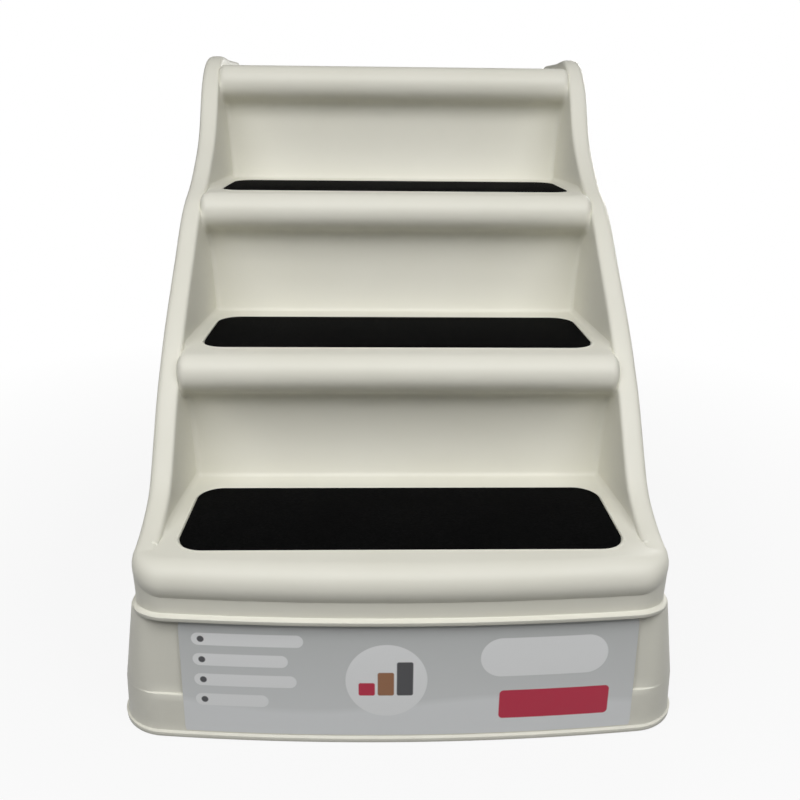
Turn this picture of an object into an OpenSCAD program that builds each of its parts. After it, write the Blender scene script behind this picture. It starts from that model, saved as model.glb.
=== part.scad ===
// Folding pet stairs: a moulded flight of four steps between rounded side
// rails, standing on a bowed front base and on a channel-shaped rear leg.
// Both supports turn on hinge pins and fold under the steps.
// x runs across, y from the front to the back, z up from the floor.
// Inside the file y is measured from the front of the base, and placed()
// moves it so that the origin is the middle of the footprint.

/* [Steps] */
// Height of the first tread above the floor
tread_h = 150; // [145:1:156]
// Height from one tread to the next
rise = 113.5; // [110:0.5:118]
// Distance from one nosing to the next
run = 149; // [146:0.5:154]
// How far the rails reach above the top tread
rail_over = 9.5; // [8:0.5:11]
// Radius of the rounded nosings
nose_r = 17; // [14:0.5:19]
// Depth of the risers behind the nosings
riser_depth = 24; // [21:0.5:27]
// Wall thickness of the mouldings
wall = 3; // [2.4:0.1:3.4]

/* [Shell] */
// Width over the side rails
shell_w = 405; // [398:1:407]
// Width of each rounded rail
rail_w = 19; // [17:0.5:20]
// Distance of the shell behind the front of the base
shell_front = 6; // [5:0.5:8]
// Radius of the shell's front corners seen from above
shell_corner = 28; // [26:1:32]
// Radius of the shell's back corners seen from above
back_corner = 24; // [22:1:25]
// Radius of the bowed front seen from above
bow_r = 1800; // [1600:50:2600]
// Height of the shell's front below the first tread
front_drop = 44.5; // [43:0.5:49]
// Height of the bead along the shell's lower edge
bead_h = 5; // [4:0.5:7]
// Depth of the front face behind the bead
bead_d = 2.5; // [1.5:0.5:3]
// Depth of the sloping skirt below the line of the inner corners
skirt_drop = 28; // [24:1:34]
// Distance from the top tread down to the skirt's edge round the rear leg
hip_drop = 112.5; // [106.5:0.5:118.5]

/* [Mats] */
// Distance from a rail to the side of a tread mat
mat_side = 13.5; // [8:0.5:16]
// Depth of a tread mat from front to back
mat_l = 106; // [100:1:111]
// Corner radius of a tread mat
mat_r = 20; // [12:1:30]
// Thickness of a tread mat
mat_t = 1.6; // [1.2:0.1:2.4]
// Depth of the recess that holds a mat
recess_d = 1; // [0.6:0.1:1.2]
// Distance from a nosing's front to the mat
mat_back = 35; // [30:1:37]

/* [Base] */
// Width over the foot of the front base
base_w = 446; // [440:1:452]
// Corner radius of the base at the floor
base_corner = 40; // [38:1:44]
// How far the foot flange stands out from the wall
flange_out = 3; // [2:0.5:4]
// Height of the foot flange
flange_h = 4; // [3:0.5:6]
// How far the base wall leans in from the floor to the top
base_lean = 12; // [10:0.5:12.5]
// Height of the moulded ledge on the front
ledge_z = 38; // [34:1:46]
// Depth of the field above the ledge
ledge_d = 2.5; // [1.5:0.5:3]
// Length of the side cheeks from the front
cheek_l = 85; // [70:1:90]

/* [Rear leg] */
// Distance from the shell's sides in to the rear leg
leg_side = 10; // [9.8:0.1:11]
// Wall thickness of the leg and of the hinge ears
ear_t = 3.5; // [3:0.1:3.6]
// Tilt of the rear leg away from upright
leg_tilt = 4.1; // [3:0.1:5]
// Corner radius of the leg seen from above
leg_corner = 16.6; // [16:0.2:17]
// Depth of the leg's side flanges at the top
flange_top = 80; // [70:1:84]
// Depth of the leg's side flanges at the foot
flange_foot = 104; // [90:1:108]
// Width of the arch between the leg's feet
arch_w = 220; // [160:5:260]
// Height of the arch between the leg's feet
arch_h = 70; // [40:2:90]
// Distance from the leg's outer face to its hinge
leg_hinge_in = 28.6; // [28.4:0.2:30]
// Height of the rear hinge below the top tread
leg_hinge_drop = 35.5; // [32:0.5:38]

/* [Hinges and locks] */
// Radius of the hinge pins
pin_r = 4; // [3:0.25:4.5]
// Running clearance round a hinge pin
pin_gap = 0.05; // [0.02:0.01:0.1]
// Distance from the rear hinge to its lock
rear_lock_out = 62; // [56:1:66]
// Distance from the front hinge to its lock
front_lock_out = 17; // [16.5:0.1:17.5]
// Radius of the lock stud
stud_r = 4; // [3.5:0.1:4.2]
// Radius of the push button's face
button_r = 5.6; // [5:0.1:5.8]
// How far a button is pressed to free the lock
button_travel = 3; // [2.6:0.1:3.2]

/* [Feet and label] */
// Radius of a rubber foot pad
pad_r = 9; // [7:0.5:9.5]
// How far a foot pad stands out below the moulding
pad_out = 1.5; // [1:0.1:2.5]
// Distance from the sides of the base's foot in to the card
card_side = 48.5; // [48:0.5:70]
// Distance of the card's middle to the right of the base's middle
card_shift = 6; // [0:1:8]
// Height of the card's lower edge
card_z = 7.5; // [7:0.5:14]

/* [Hidden] */
$fn = 48;

// Colours
cream = [0.93, 0.92, 0.86];
mat_black = [0.05, 0.05, 0.06];
steel = [0.72, 0.73, 0.75];
spring_steel = [0.55, 0.57, 0.6];
button_grey = [0.36, 0.37, 0.38];
nylon = [0.88, 0.88, 0.84];
rubber = [0.13, 0.13, 0.14];
card_grey = [0.66, 0.67, 0.68];

// Counts of steps along the curves
front_steps = 5;
corner_steps = 5;
back_steps = 4;
arc_steps = 6;
bend_steps = 6;
step_count = 4;

// General fits
overrun = 1;
rest_gap = 0.3;
seat_gap = 0.02;

// Overall heights and the line through the inner corners of the steps
top_tread = tread_h + (step_count - 1) * rise;
total_h = top_tread + rail_over;
skirt_z = tread_h - front_drop;
hip_z = top_tread - hip_drop;
riser_back_share = 0.78;
nose_turn = 250;
corner_y = shell_front + run + riser_back_share * riser_depth;
slope = rise / run;
function slope_z(y) = tread_h + slope * (y - corner_y);
function nose_y(i) = shell_front + i * run;
function tread_z(i) = tread_h + i * rise;

// Widths of the pieces that fit between the shell's sides
leg_w = shell_w - 2 * leg_side;
mat_w = shell_w - 2 * rail_w - 2 * mat_side;
card_w = base_w - 2 * card_side;

// Rear leg hinge and the leg's outer face
platform_l = 176.1;
foot_lip = 3;
back_y = nose_y(step_count - 1) + platform_l;
leg_hinge_z = top_tread - leg_hinge_drop;
leg_top_y = back_y - wall - rest_gap;
leg_hinge_y = leg_top_y - leg_hinge_in / cos(leg_tilt) - leg_hinge_drop * tan(leg_tilt) / 2;
leg_foot_y = leg_hinge_y + leg_hinge_in / cos(leg_tilt) + leg_hinge_z * tan(leg_tilt);
total_l = leg_foot_y + foot_lip;
leg_half = leg_w / 2;
leg_axis = [leg_hinge_y, leg_hinge_z];
leg_dir = [sin(leg_tilt), -cos(leg_tilt)];
rear_lock_fore = 4.5;
rear_lock = leg_axis + rear_lock_out * leg_dir - rear_lock_fore * [cos(leg_tilt), sin(leg_tilt)];
leg_panel_drop = 40;
knuckle_r = 12;
leg_neck = 46;
leg_lip_h = 5;
leg_rib_t = 3;
leg_rib_d = 12;
leg_rib_shares = [0.34, 0.62];

// Front hinge
front_hinge_in = 44;
front_hinge_up = 11;
front_axis = [shell_front + front_hinge_in, skirt_z + front_hinge_up];
front_lock_turn = 225;
front_lock = front_axis + front_lock_out * [cos(front_lock_turn), sin(front_lock_turn)];
front_ear_in = 53;
front_ear_x = shell_w / 2 - front_ear_in;
ear_r = 10;
ear_under = 14.1;
ear_bite = 1.5;

// Stack of parts along a hinge, measured from the ear's face on the lock side
washer_t = 1.2;
washer_side = 0.15;
washer_r = 8;
lug_t = 6;
lug_r = 10;
pin_head_t = 3;
pin_head_r = 7;
pin_boss_r = 7.4;
pin_in = 5;
wall_in = leg_side - wall;
lug_face = -ear_t - washer_t - 2 * washer_side;
guide_flange_t = 1.2;
guide_r = 9;
guide_plug_t = 2;
guide_bore_gap = 0.3;
button_chamber_r = 7;
button_lip = 1.5;
button_collar_r = 6.8;
button_collar_t = 1.5;
button_proud = 0.4;
button_side = 0.2;
button_play = 0.1;
stud_gap = 0.2;
stud_tip = button_travel - stud_gap;
spring_t = 1;
spring_w = 10;
spring_l = 38;
front_spring_turn = 256;
rivet_r = 2;
rivet_head_r = 3.8;
rivet_head_t = 1.2;
front_rivet = front_lock + spring_l * [cos(front_spring_turn), sin(front_spring_turn)];
rear_rivet = rear_lock + spring_l * leg_dir;
ear_low_z = front_rivet[1] - ear_under;

// Feet and card
pad_t = 3;
pad_peg_r = 3;
pad_peg_l = 6;
foot_boss_r = 11;
foot_boss_h = 12;
rear_boss_r = 10;
rear_pad_in = 12.5;
rear_pad_x = leg_half - rear_pad_in;
rear_pad_y = leg_foot_y - rear_pad_in;
foot_boss_bite = 2.4;
front_pad_turn = 18;
front_pad_reach = base_corner - flange_out - wall - foot_boss_r + foot_boss_bite;
front_pad = corner_centre(base_w / 2, 0, base_corner)
    + front_pad_reach * [sin(front_pad_turn), -cos(front_pad_turn)];
card_t = 0.6;
card_gap = 0.3;
card_top_gap = 3;

// Ribs under the treads and in the base
rib_t = 2.4;
rib_h = 9;
rib_x_share = 0.25;
base_rib_y = 25;

// Heights of the rail's top as shares of the whole length and height, chosen
// by hand: flat behind each nosing and steep towards the next one
rail_shares = [
    [0.063, 0.300], [0.094, 0.310], [0.124, 0.326], [0.154, 0.348],
    [0.178, 0.384], [0.203, 0.425], [0.233, 0.473], [0.266, 0.516],
    [0.302, 0.560], [0.359, 0.620], [0.404, 0.666], [0.446, 0.711],
    [0.483, 0.741], [0.535, 0.770], [0.583, 0.808], [0.618, 0.841],
    [0.649, 0.885], [0.674, 0.935], [0.700, 0.970], [0.728, 0.992],
    [0.753, 1.000], [0.823, 0.996]
];
rail_end_share = 0.990;

// Concave riser as shares of its depth and of the rise, from the bottom up
riser_shares = [
    [0.78, 0.04], [0.86, 0.12], [0.96, 0.24], [1.00, 0.38],
    [0.99, 0.50], [0.86, 0.61], [0.64, 0.685]
];

// Points of an arc about c, from angle a0 to a1
function arc(c, r, a0, a1, n) =
    [for (i = [0:n]) let (a = a0 + (a1 - a0) * i / n) c + r * [cos(a), sin(a)]];

function reversed(list) = [for (i = [len(list) - 1:-1:0]) list[i]];

function unit(v) = v / norm(v);

function mix(a, b, share) = a + (b - a) * share;

function clamp01(v) = max(0, min(1, v));

// Left normal of an open path at point i
function path_normal(path, i) =
    let (a = path[max(i - 1, 0)], b = path[min(i + 1, len(path) - 1)],
         d = unit(b - a))
    [-d[1], d[0]];

// An open path moved sideways by d
function path_moved(path, d) =
    [for (i = [0:len(path) - 1]) path[i] + d * path_normal(path, i)];

// Value at y in a table of [y, value] rows, drawn as straight stretches
function table_at(table, y) =
    y <= table[0][0] ? table[0][1] :
    y >= table[len(table) - 1][0] ? table[len(table) - 1][1] :
    [for (i = [0:len(table) - 2])
        if (y >= table[i][0] && y < table[i + 1][0])
            mix(table[i][1], table[i + 1][1],
                (y - table[i][0]) / (table[i + 1][0] - table[i][0]))][0];

// Centre of the right round corner of a bowed front seen from above
function corner_centre(half, front, corner) =
    [half - corner,
     front + bow_r - sqrt(pow(bow_r - corner, 2) - pow(half - corner, 2))];

// Plan outline of the right half of a bowed front with a round corner:
// each entry is a point and its outward normal
function bowed_front(half, front, corner) =
    let (mid = front + bow_r,
         turn = asin((half - corner) / (bow_r - corner)),
         cy = corner_centre(half, front, corner)[1])
    concat(
        [for (i = [0:front_steps]) let (a = turn * i / front_steps)
            [[bow_r * sin(a), mid - bow_r * cos(a)], [sin(a), -cos(a)]]],
        [for (i = [1:corner_steps]) let (a = mix(turn, 90, i / corner_steps))
            [[half - corner + corner * sin(a), cy - corner * cos(a)],
             [sin(a), -cos(a)]]]);

// The same outline with its left half added, from left to right
function both_sides(right_half) =
    concat([for (i = [len(right_half) - 1:-1:1])
               let (s = right_half[i])
               [[-s[0][0], s[0][1]], [-s[1][0], s[1][1]]]],
           right_half);

// Faces of a band swept along stations: every ring has n points
function sweep_faces(stations, n, closed) =
    let (last = closed ? stations - 1 : stations - 2)
    concat(
        [for (i = [0:last]) for (j = [0:n - 1])
            [i * n + j, i * n + (j + 1) % n,
             ((i + 1) % stations) * n + (j + 1) % n]],
        [for (i = [0:last]) for (j = [0:n - 1])
            [i * n + j, ((i + 1) % stations) * n + (j + 1) % n,
             ((i + 1) % stations) * n + j]]);

// End faces of an open band whose ring is an outer line and, backwards, an
// inner line of the same count
function band_caps(stations, n) =
    let (half = n / 2, e = (stations - 1) * n)
    concat(
        [for (j = [0:half - 2]) [j, n - 2 - j, j + 1]],
        [for (j = [0:half - 2]) [j, n - 1 - j, n - 2 - j]],
        [for (j = [0:half - 2]) [e + j, e + j + 1, e + n - 2 - j]],
        [for (j = [0:half - 2]) [e + j, e + n - 2 - j, e + n - 1 - j]]);

// Moves the part so that the origin is the middle of the footprint
module placed() translate([0, -total_l / 2, 0]) children();

// Draws a piece on the right side, or its mirror image on the left
module on_side(side)
    if (side > 0) children();
    else mirror([1, 0, 0]) children();

// Extrudes an outline drawn in y and z along x
module along_x(x0, x1)
    translate([x0, 0, 0]) rotate([90, 0, 90]) linear_extrude(x1 - x0) children();

// A cylinder along x with its axis through a point [y, z]
module rod_x(at, r, x0, x1)
    translate([x0, at[0], at[1]]) rotate([0, 90, 0]) cylinder(r = r, h = x1 - x0);

// Lays a stack piece from a to b, measured from the ear's face on the lock
// side: the rear stack runs outwards and the front stack runs inwards
function rear_x(t) = leg_half + t;
function front_x(t) = front_ear_x - t;
module rear_rod(at, r, a, b) rod_x(at, r, rear_x(a), rear_x(b));
module front_rod(at, r, a, b) rod_x(at, r, front_x(b), front_x(a));

// Heights along the shell
rail_table = [for (p = rail_shares) [p[0] * total_l, p[1] * total_h]];
function rail_z(y) = table_at(rail_table, y);
function skirt_low(y) = max(skirt_z, min(hip_z, slope_z(y) - skirt_drop));
web_drop = 8;
function web_low(y) = max(tread_h - web_drop, min(slope_z(y) - web_drop, top_tread - web_drop));

// Outline of the shell, closed, with the share of front shape at each point
shell_half = shell_w / 2;
rail_r = rail_w / 2;
shell_back_tilt = tan(leg_tilt);
side_start = nose_y(0) + shell_corner + nose_r + wall;
side_rows = [for (p = rail_table)
    if (p[0] > side_start && p[0] < back_y - back_corner) p[0]];
shell_right = concat(
    bowed_front(shell_half, shell_front, shell_corner),
    [for (y = side_rows) [[shell_half, y], [1, 0]]],
    [for (i = [0:back_steps]) let (a = mix(90, 180, i / back_steps))
        [[shell_half - back_corner + back_corner * sin(a),
          back_y - back_corner - back_corner * cos(a)], [sin(a), -cos(a)]]]);
shell_line = concat(shell_right,
    [for (s = reversed(shell_right)) if (s[0][0] > 0)
        [[-s[0][0], s[0][1]], [-s[1][0], s[1][1]]]]);

// Cross-section of the shell's rim at a station: skirt, rounded top, inner leg
rail_draft = 0.05;
function rim_ring(s) =
    let (p = s[0], n = s[1],
         front = clamp01(-n[1]),
         back = clamp01(n[1]),
         r = mix(rail_r, nose_r, front),
         top = n[1] < 0 ? tread_h :
               back > 0 ? rail_end_share * total_h : rail_z(p[1]),
         low = n[1] < 0 ? skirt_z : back > 0 ? hip_z : skirt_low(p[1]),
         leg_low = min(n[1] < 0 ? tread_h - web_drop :
                       back > 0 ? top_tread - web_drop : web_low(p[1]),
                       top - r - wall),
         turn = 90 * front,
         leg_l = mix(top - r - leg_low, wall, front),
         leg = leg_l * [sin(turn) + rail_draft * (1 - front) * (1 - back), -cos(turn)],
         dent = bead_d * front,
         lean = back * shell_back_tilt,
         line = concat(
             [[0, low], [0, low + bead_h], [dent, low + bead_h + dent],
              [dent, top - 2 * r]],
             [for (i = [0:arc_steps]) let (a = mix(180, turn, i / arc_steps))
                 [r, top - r] + r * [cos(a), sin(a)]],
             [[r, top - r] + r * [cos(turn), sin(turn)] + leg]),
         inner = concat(
             [[wall, low], [wall, low + bead_h], [dent + wall, low + bead_h + dent],
              [dent + wall, top - 2 * r]],
             [for (i = [0:arc_steps]) let (a = mix(180, turn, i / arc_steps))
                 [r, top - r] + (r - wall) * [cos(a), sin(a)]],
             [[r, top - r] + (r - wall) * [cos(turn), sin(turn)] + leg]),
         ring = concat(line, reversed(inner)))
    [for (q = ring)
        let (d = q[0] - lean * (top - q[1]))
        [p[0] - d * n[0], p[1] - d * n[1], q[1]]];

module shell_rim() {
    rings = [for (s = shell_line) rim_ring(s)];
    n = len(rings[0]);
    polyhedron(points = [for (ring = rings) for (q = ring) q],
               faces = sweep_faces(len(rings), n, true), convexity = 10);
}

// Upper line of the steps from the first nosing's top to the platform's back
function nosing_line(i) = concat(
    [for (q = riser_shares)
        [nose_y(i) + q[0] * riser_depth, tread_z(i - 1) + q[1] * rise]],
    arc([nose_y(i) + nose_r, tread_z(i) - nose_r], nose_r, nose_turn, 90, bend_steps));
sheet_front = nose_y(0) + nose_r;
sheet_back = back_y - rail_w;
steps_line = concat(
    [[sheet_front, tread_h]],
    [for (i = [1:step_count - 1])
        for (q = concat([[nose_y(i) + (riser_shares[0][0]) * riser_depth - wall,
                          tread_z(i - 1)]], nosing_line(i))) q],
    [[sheet_back, top_tread]]);
sheet_half = shell_half - rail_w + wall / 2;

module steps_sheet()
    along_x(-sheet_half, sheet_half)
        polygon(concat(steps_line, reversed(path_moved(steps_line, -wall))));

// Filler between the first tread and the ends of the rails
module tread_ends()
    along_x(-shell_half + rail_r, shell_half - rail_r)
        polygon([[sheet_front + bow_dip(shell_half - rail_w), tread_h],
                 [nose_y(0) + 2 * nose_r + rail_w, tread_h],
                 [nose_y(0) + 2 * nose_r + rail_w, tread_h - wall],
                 [sheet_front + bow_dip(shell_half - rail_w), tread_h - wall]]);
function bow_dip(x) = bow_r - sqrt(bow_r * bow_r - x * x);

// Rounded rectangle in x and y, centred across
module mat_shape(w, l, r)
    polygon(concat(arc([w / 2 - r, r], r, -90, 0, bend_steps),
                   arc([w / 2 - r, l - r], r, 0, 90, bend_steps),
                   arc([-w / 2 + r, l - r], r, 90, 180, bend_steps),
                   arc([-w / 2 + r, r], r, 180, 270, bend_steps)));

mat_edge = 1;
module mat_recess(i)
    translate([0, nose_y(i) + mat_back - mat_edge, tread_z(i) - recess_d])
        linear_extrude(recess_d + overrun)
            mat_shape(mat_w + 2 * mat_edge, mat_l + 2 * mat_edge, mat_r + mat_edge);

module tread_mat(i)
    color(mat_black) placed()
        translate([0, nose_y(i) + mat_back, tread_z(i) - recess_d])
            linear_extrude(mat_t) mat_shape(mat_w, mat_l, mat_r);

// Ribs under a tread and behind the riser above it
module tread_rib(i, x) {
    y0 = nose_y(i) + nose_r + wall;
    y1 = i < step_count - 1 ? nose_y(i + 1) + riser_depth / 2 : back_y - rail_w;
    along_x(x - rib_t / 2, x + rib_t / 2)
        polygon([[y0, tread_z(i) - wall - rib_h], [y0, tread_z(i) - wall / 2],
                 [y1, tread_z(i) - wall / 2], [y1, tread_z(i) - wall - rib_h / 2]]);
}

module shell_ribs()
    for (i = [0:step_count - 1]) for (k = [-1:1])
        tread_rib(i, k * rib_x_share * shell_w);

// Lug and bosses that carry the rear hinge and lock on one side
lug_neck_share = 0.9;
module rear_lugs() {
    rear_rod(leg_axis, lug_r, lug_face - lug_t, lug_face);
    along_x(rear_x(lug_face - lug_t), rear_x(lug_face))
        translate([leg_axis[0] - lug_r, leg_axis[1]])
            square([2 * lug_r, top_tread - wall / 2 - leg_axis[1]]);
    rear_rod(leg_axis, pin_boss_r, rest_gap, wall_in + wall / 2);
    rear_rod(rear_lock, guide_r, rest_gap + guide_flange_t, wall_in + wall / 2);
}

module rear_bores() {
    rear_rod(leg_axis, pin_r + seat_gap, lug_face - lug_t - overrun, lug_face + overrun);
    rear_rod(leg_axis, pin_r + seat_gap, rest_gap - overrun, pin_in + stud_gap);
    rear_rod(rear_lock, button_chamber_r, 0, wall_in + wall - button_lip);
    rear_rod(rear_lock, button_r + button_side, wall_in, wall_in + wall + overrun);
}

// Lugs under the first tread that carry the front hinge and lock on one side
module front_lug_plate(a, b, low)
    along_x(front_x(b), front_x(a))
        translate([front_axis[0] - lug_r, low])
            square([2 * lug_r, tread_h - wall / 2 - low]);

module front_lugs() {
    front_rod(front_axis, lug_r, lug_face - lug_t, lug_face);
    front_lug_plate(lug_face - lug_t, lug_face, front_axis[1]);
    front_rod(front_axis, lug_r, wall_in, wall_in + wall);
    front_lug_plate(wall_in, wall_in + wall, front_axis[1]);
    front_rod(front_lock, guide_r, rest_gap + guide_flange_t, wall_in + wall);
    front_rod(front_axis, pin_boss_r, rest_gap, wall_in + wall);
}

module front_bores() {
    front_rod(front_axis, pin_r + seat_gap, lug_face - lug_t - overrun, lug_face + overrun);
    front_rod(front_axis, pin_r + seat_gap, rest_gap - overrun, pin_in + stud_gap);
    front_rod(front_lock, button_chamber_r, 0, wall_in + wall - button_lip);
    front_rod(front_lock, button_r + button_side, wall_in, wall_in + wall + overrun);
}

module stair_shell()
    color(cream) placed() difference() {
        union() {
            shell_rim();
            steps_sheet();
            tread_ends();
            shell_ribs();
            for (side = [-1, 1]) on_side(side) {
                rear_lugs();
                front_lugs();
            }
        }
        for (i = [0:step_count - 1]) mat_recess(i);
        for (side = [-1, 1]) on_side(side) {
            rear_bores();
            front_bores();
        }
    }

// Front base: how far its outer face lies inside the foot line at height z
base_top = skirt_z - rest_gap;
base_half = base_w / 2;
base_low = pad_out;
base_front_share = 0.7;
ledge_x_share = 0.93;
ledge_fade = 18;
ledge_step = 2;
base_side_foot = 1.5;
base_side_ledge = 4;
function base_in(z) = flange_out + base_lean * (z - base_low) / (base_top - base_low);

// Inset of the base's sides, which stand nearly upright up to the ledge
function base_side_in(z) =
    z > ledge_z
        ? mix(base_side_ledge, base_in(base_top), (z - ledge_z) / (base_top - ledge_z))
        : mix(base_side_foot, base_side_ledge, (z - base_low) / (ledge_z - base_low));
base_right = concat(
    bowed_front(base_half, 0, base_corner),
    [[[base_half, (cheek_l + base_corner) / 2], [1, 0]], [[base_half, cheek_l], [1, 0]]]);
base_line = both_sides(base_right);

// Point at inset d of a base station. The front leans less than the sides, and
// the foot flange, whose inset is zero, stays on the foot line.
function base_point(s, d, z) =
    let (side = d > 0 ? d - base_in(z) + base_side_in(z) : 0)
    [s[0][0] - side * s[1][0],
     s[0][1] - d * s[1][1] - (1 - base_front_share) * d, z];

function base_ring(s) =
    let (field = clamp01((ledge_x_share * base_half - abs(s[0][0])) / ledge_fade) * ledge_d,
         line = [[0, base_low], [0, base_low + flange_h],
                 [base_in(base_low + flange_h), base_low + flange_h + flange_out / 2],
                 [base_in(ledge_z), ledge_z],
                 [base_in(ledge_z + ledge_step) + field, ledge_z + ledge_step],
                 [base_in(base_top), base_top]],
         inner = [[flange_out + wall, base_low],
                  [flange_out + wall, base_low + flange_h],
                  [base_in(base_low + flange_h) + wall, base_low + flange_h + flange_out / 2],
                  [base_in(ledge_z) + wall, ledge_z],
                  [base_in(ledge_z + ledge_step) + wall + ledge_d, ledge_z + ledge_step],
                  [base_in(base_top) + wall, base_top]])
    [for (q = concat(line, reversed(inner))) base_point(s, q[0], q[1])];

module base_wall() {
    rings = [for (s = base_line) base_ring(s)];
    n = len(rings[0]);
    polyhedron(points = [for (ring = rings) for (q = ring) q],
               faces = concat(sweep_faces(len(rings), n, false),
                              band_caps(len(rings), n)), convexity = 10);
}

// Inner face of the base's front wall at a place x and height z
function base_inner_y(x, z) =
    bow_dip(x) + base_front_share * base_in(z) + wall;

module base_ear() {
    top = base_top - wall;
    along_x(front_ear_x, front_ear_x + ear_t) {
        polygon([[base_inner_y(front_ear_x, ear_low_z) - ear_bite, ear_low_z],
                 [front_lock[0] + spring_w / 2, ear_low_z],
                 front_axis + ear_r * [cos(-45), sin(-45)],
                 front_axis + ear_r * [cos(135), sin(135)],
                 [base_inner_y(front_ear_x, top) - ear_bite, top]]);
        translate(front_axis) circle(r = ear_r);
    }
}

module base_rib(x)
    along_x(x - rib_t / 2, x + rib_t / 2)
        polygon([[base_inner_y(x, base_low) - ear_bite, base_low + flange_h],
                 [base_rib_y, base_low + flange_h], [base_rib_y, ledge_z],
                 [base_inner_y(x, base_top), base_top - rib_h],
                 [base_inner_y(x, base_top) - ear_bite, base_top - rib_h]]);

module front_base()
    color(cream) placed() difference() {
        union() {
            base_wall();
            for (k = [-1:1]) base_rib(k * rib_x_share * base_w);
            for (side = [-1, 1]) on_side(side) {
                base_ear();
                translate([front_pad[0], front_pad[1], base_low])
                    cylinder(r = foot_boss_r, h = foot_boss_h);
            }
        }
        for (side = [-1, 1]) on_side(side) {
            front_rod(front_axis, pin_r + pin_gap, -ear_t - overrun, overrun);
            front_rod(front_lock, stud_r + stud_gap, -ear_t - overrun, overrun);
            front_rod(front_rivet, rivet_r + seat_gap, -ear_t - overrun, overrun);
            translate([front_pad[0], front_pad[1], base_low - overrun])
                cylinder(r = pad_peg_r + seat_gap, h = pad_peg_l + overrun);
        }
    }

// Rear leg, drawn upright about its hinge and then tilted
leg_depth = flange_foot + leg_hinge_in;
module leg_plan(grow, depth)
    difference() {
        leg_outline(leg_half + grow, leg_hinge_in + grow, leg_corner + grow, depth);
        leg_outline(leg_half - ear_t, leg_hinge_in - ear_t, leg_corner - ear_t,
                    depth + overrun);
    }

module leg_outline(half, back, corner, depth)
    polygon(concat([[half, back - depth]],
                   arc([half - corner, back - corner], corner, 0, 90, bend_steps),
                   arc([-half + corner, back - corner], corner, 90, 180, bend_steps),
                   [[-half, back - depth]]));

leg_reach = leg_hinge_z / cos(leg_tilt) + flange_foot;
module leg_side_outline() {
    circle(r = knuckle_r);
    polygon([[-knuckle_r, 0], [leg_hinge_in - flange_top, -leg_neck],
             [leg_hinge_in - flange_foot, -leg_hinge_z],
             [leg_hinge_in - flange_foot, -leg_reach],
             [leg_hinge_in + foot_lip + overrun, -leg_reach],
             [leg_hinge_in + foot_lip + overrun, -leg_hinge_z / 2],
             [leg_hinge_in, -leg_panel_drop], [knuckle_r, 0]]);
}

module tilted()
    translate([0, leg_axis[0], leg_axis[1]]) rotate([leg_tilt, 0, 0]) children();

module leg_channel()
    intersection() {
        translate([0, 0, -leg_reach]) linear_extrude(leg_reach + knuckle_r)
            leg_plan(0, flange_foot);
        along_x(-leg_half - overrun, leg_half + overrun) leg_side_outline();
    }

// Ribs across the inside of the leg's back panel
module leg_ribs()
    for (s = leg_rib_shares)
        translate([0, 0, -s * leg_hinge_z]) linear_extrude(leg_rib_t)
            intersection() {
                leg_outline(leg_half - ear_t / 2, leg_hinge_in - ear_t / 2,
                            leg_corner - ear_t / 2, leg_depth);
                translate([-leg_half, leg_hinge_in - ear_t - leg_rib_d])
                    square([leg_w, leg_rib_d + ear_t]);
            }

arch_r = (arch_w * arch_w / 4 + arch_h * arch_h) / (2 * arch_h);
module leg_arch()
    translate([0, leg_foot_y - flange_foot / 2, arch_h - arch_r])
        rotate([-90, 0, 0]) cylinder(r = arch_r, h = flange_foot, $fn = 96);

module rear_leg()
    color(cream) placed() difference() {
        union() {
            tilted() {
                leg_channel();
                leg_ribs();
            }
            leg_foot_lip();
            for (side = [-1, 1])
                translate([side * rear_pad_x, rear_pad_y, base_low])
                    cylinder(r = rear_boss_r, h = foot_boss_h);
        }
        translate([-leg_half - flange_foot, leg_foot_y - 2 * leg_depth, base_low - leg_depth])
            cube([2 * leg_half + 2 * flange_foot, 3 * leg_depth, leg_depth]);
        leg_arch();
        for (side = [-1, 1]) on_side(side) {
            rear_rod(leg_axis, pin_r + pin_gap, -ear_t - overrun, overrun);
            rear_rod(rear_lock, stud_r + stud_gap, -ear_t - overrun, overrun);
            rear_rod(rear_rivet, rivet_r + seat_gap, -ear_t - overrun, overrun);
            translate([rear_pad_x, rear_pad_y, base_low - overrun])
                cylinder(r = pad_peg_r + seat_gap, h = pad_peg_l + overrun);
        }
    }

// Lip round the foot of the rear leg
module leg_foot_lip()
    translate([0, leg_foot_y - leg_hinge_in - base_low * tan(leg_tilt), base_low])
        linear_extrude(leg_lip_h) leg_plan(foot_lip, flange_foot);

// Hinge pins, washers, buttons and lock springs
module rear_hinge_pin(side)
    color(steel) placed() on_side(side) {
        rear_rod(leg_axis, pin_r, lug_face - lug_t - overrun, pin_in);
        rear_rod(leg_axis, pin_head_r, lug_face - lug_t - pin_head_t, lug_face - lug_t);
    }

module front_hinge_pin(side)
    color(steel) placed() on_side(side) {
        front_rod(front_axis, pin_r, lug_face - lug_t - overrun, pin_in);
        front_rod(front_axis, pin_head_r, lug_face - lug_t - pin_head_t, lug_face - lug_t);
    }

module washer_cut(rear) difference() {
    if (rear) rear_rod(leg_axis, washer_r, lug_face + washer_side, -ear_t - washer_side);
    else front_rod(front_axis, washer_r, lug_face + washer_side, -ear_t - washer_side);
    if (rear) rear_rod(leg_axis, pin_r + pin_gap, lug_face - overrun, overrun);
    else front_rod(front_axis, pin_r + pin_gap, lug_face - overrun, overrun);
}

module rear_hinge_washers()
    color(nylon) placed() for (side = [-1, 1]) on_side(side) washer_cut(true);

module front_hinge_washers()
    color(nylon) placed() for (side = [-1, 1]) on_side(side) washer_cut(false);

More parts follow.
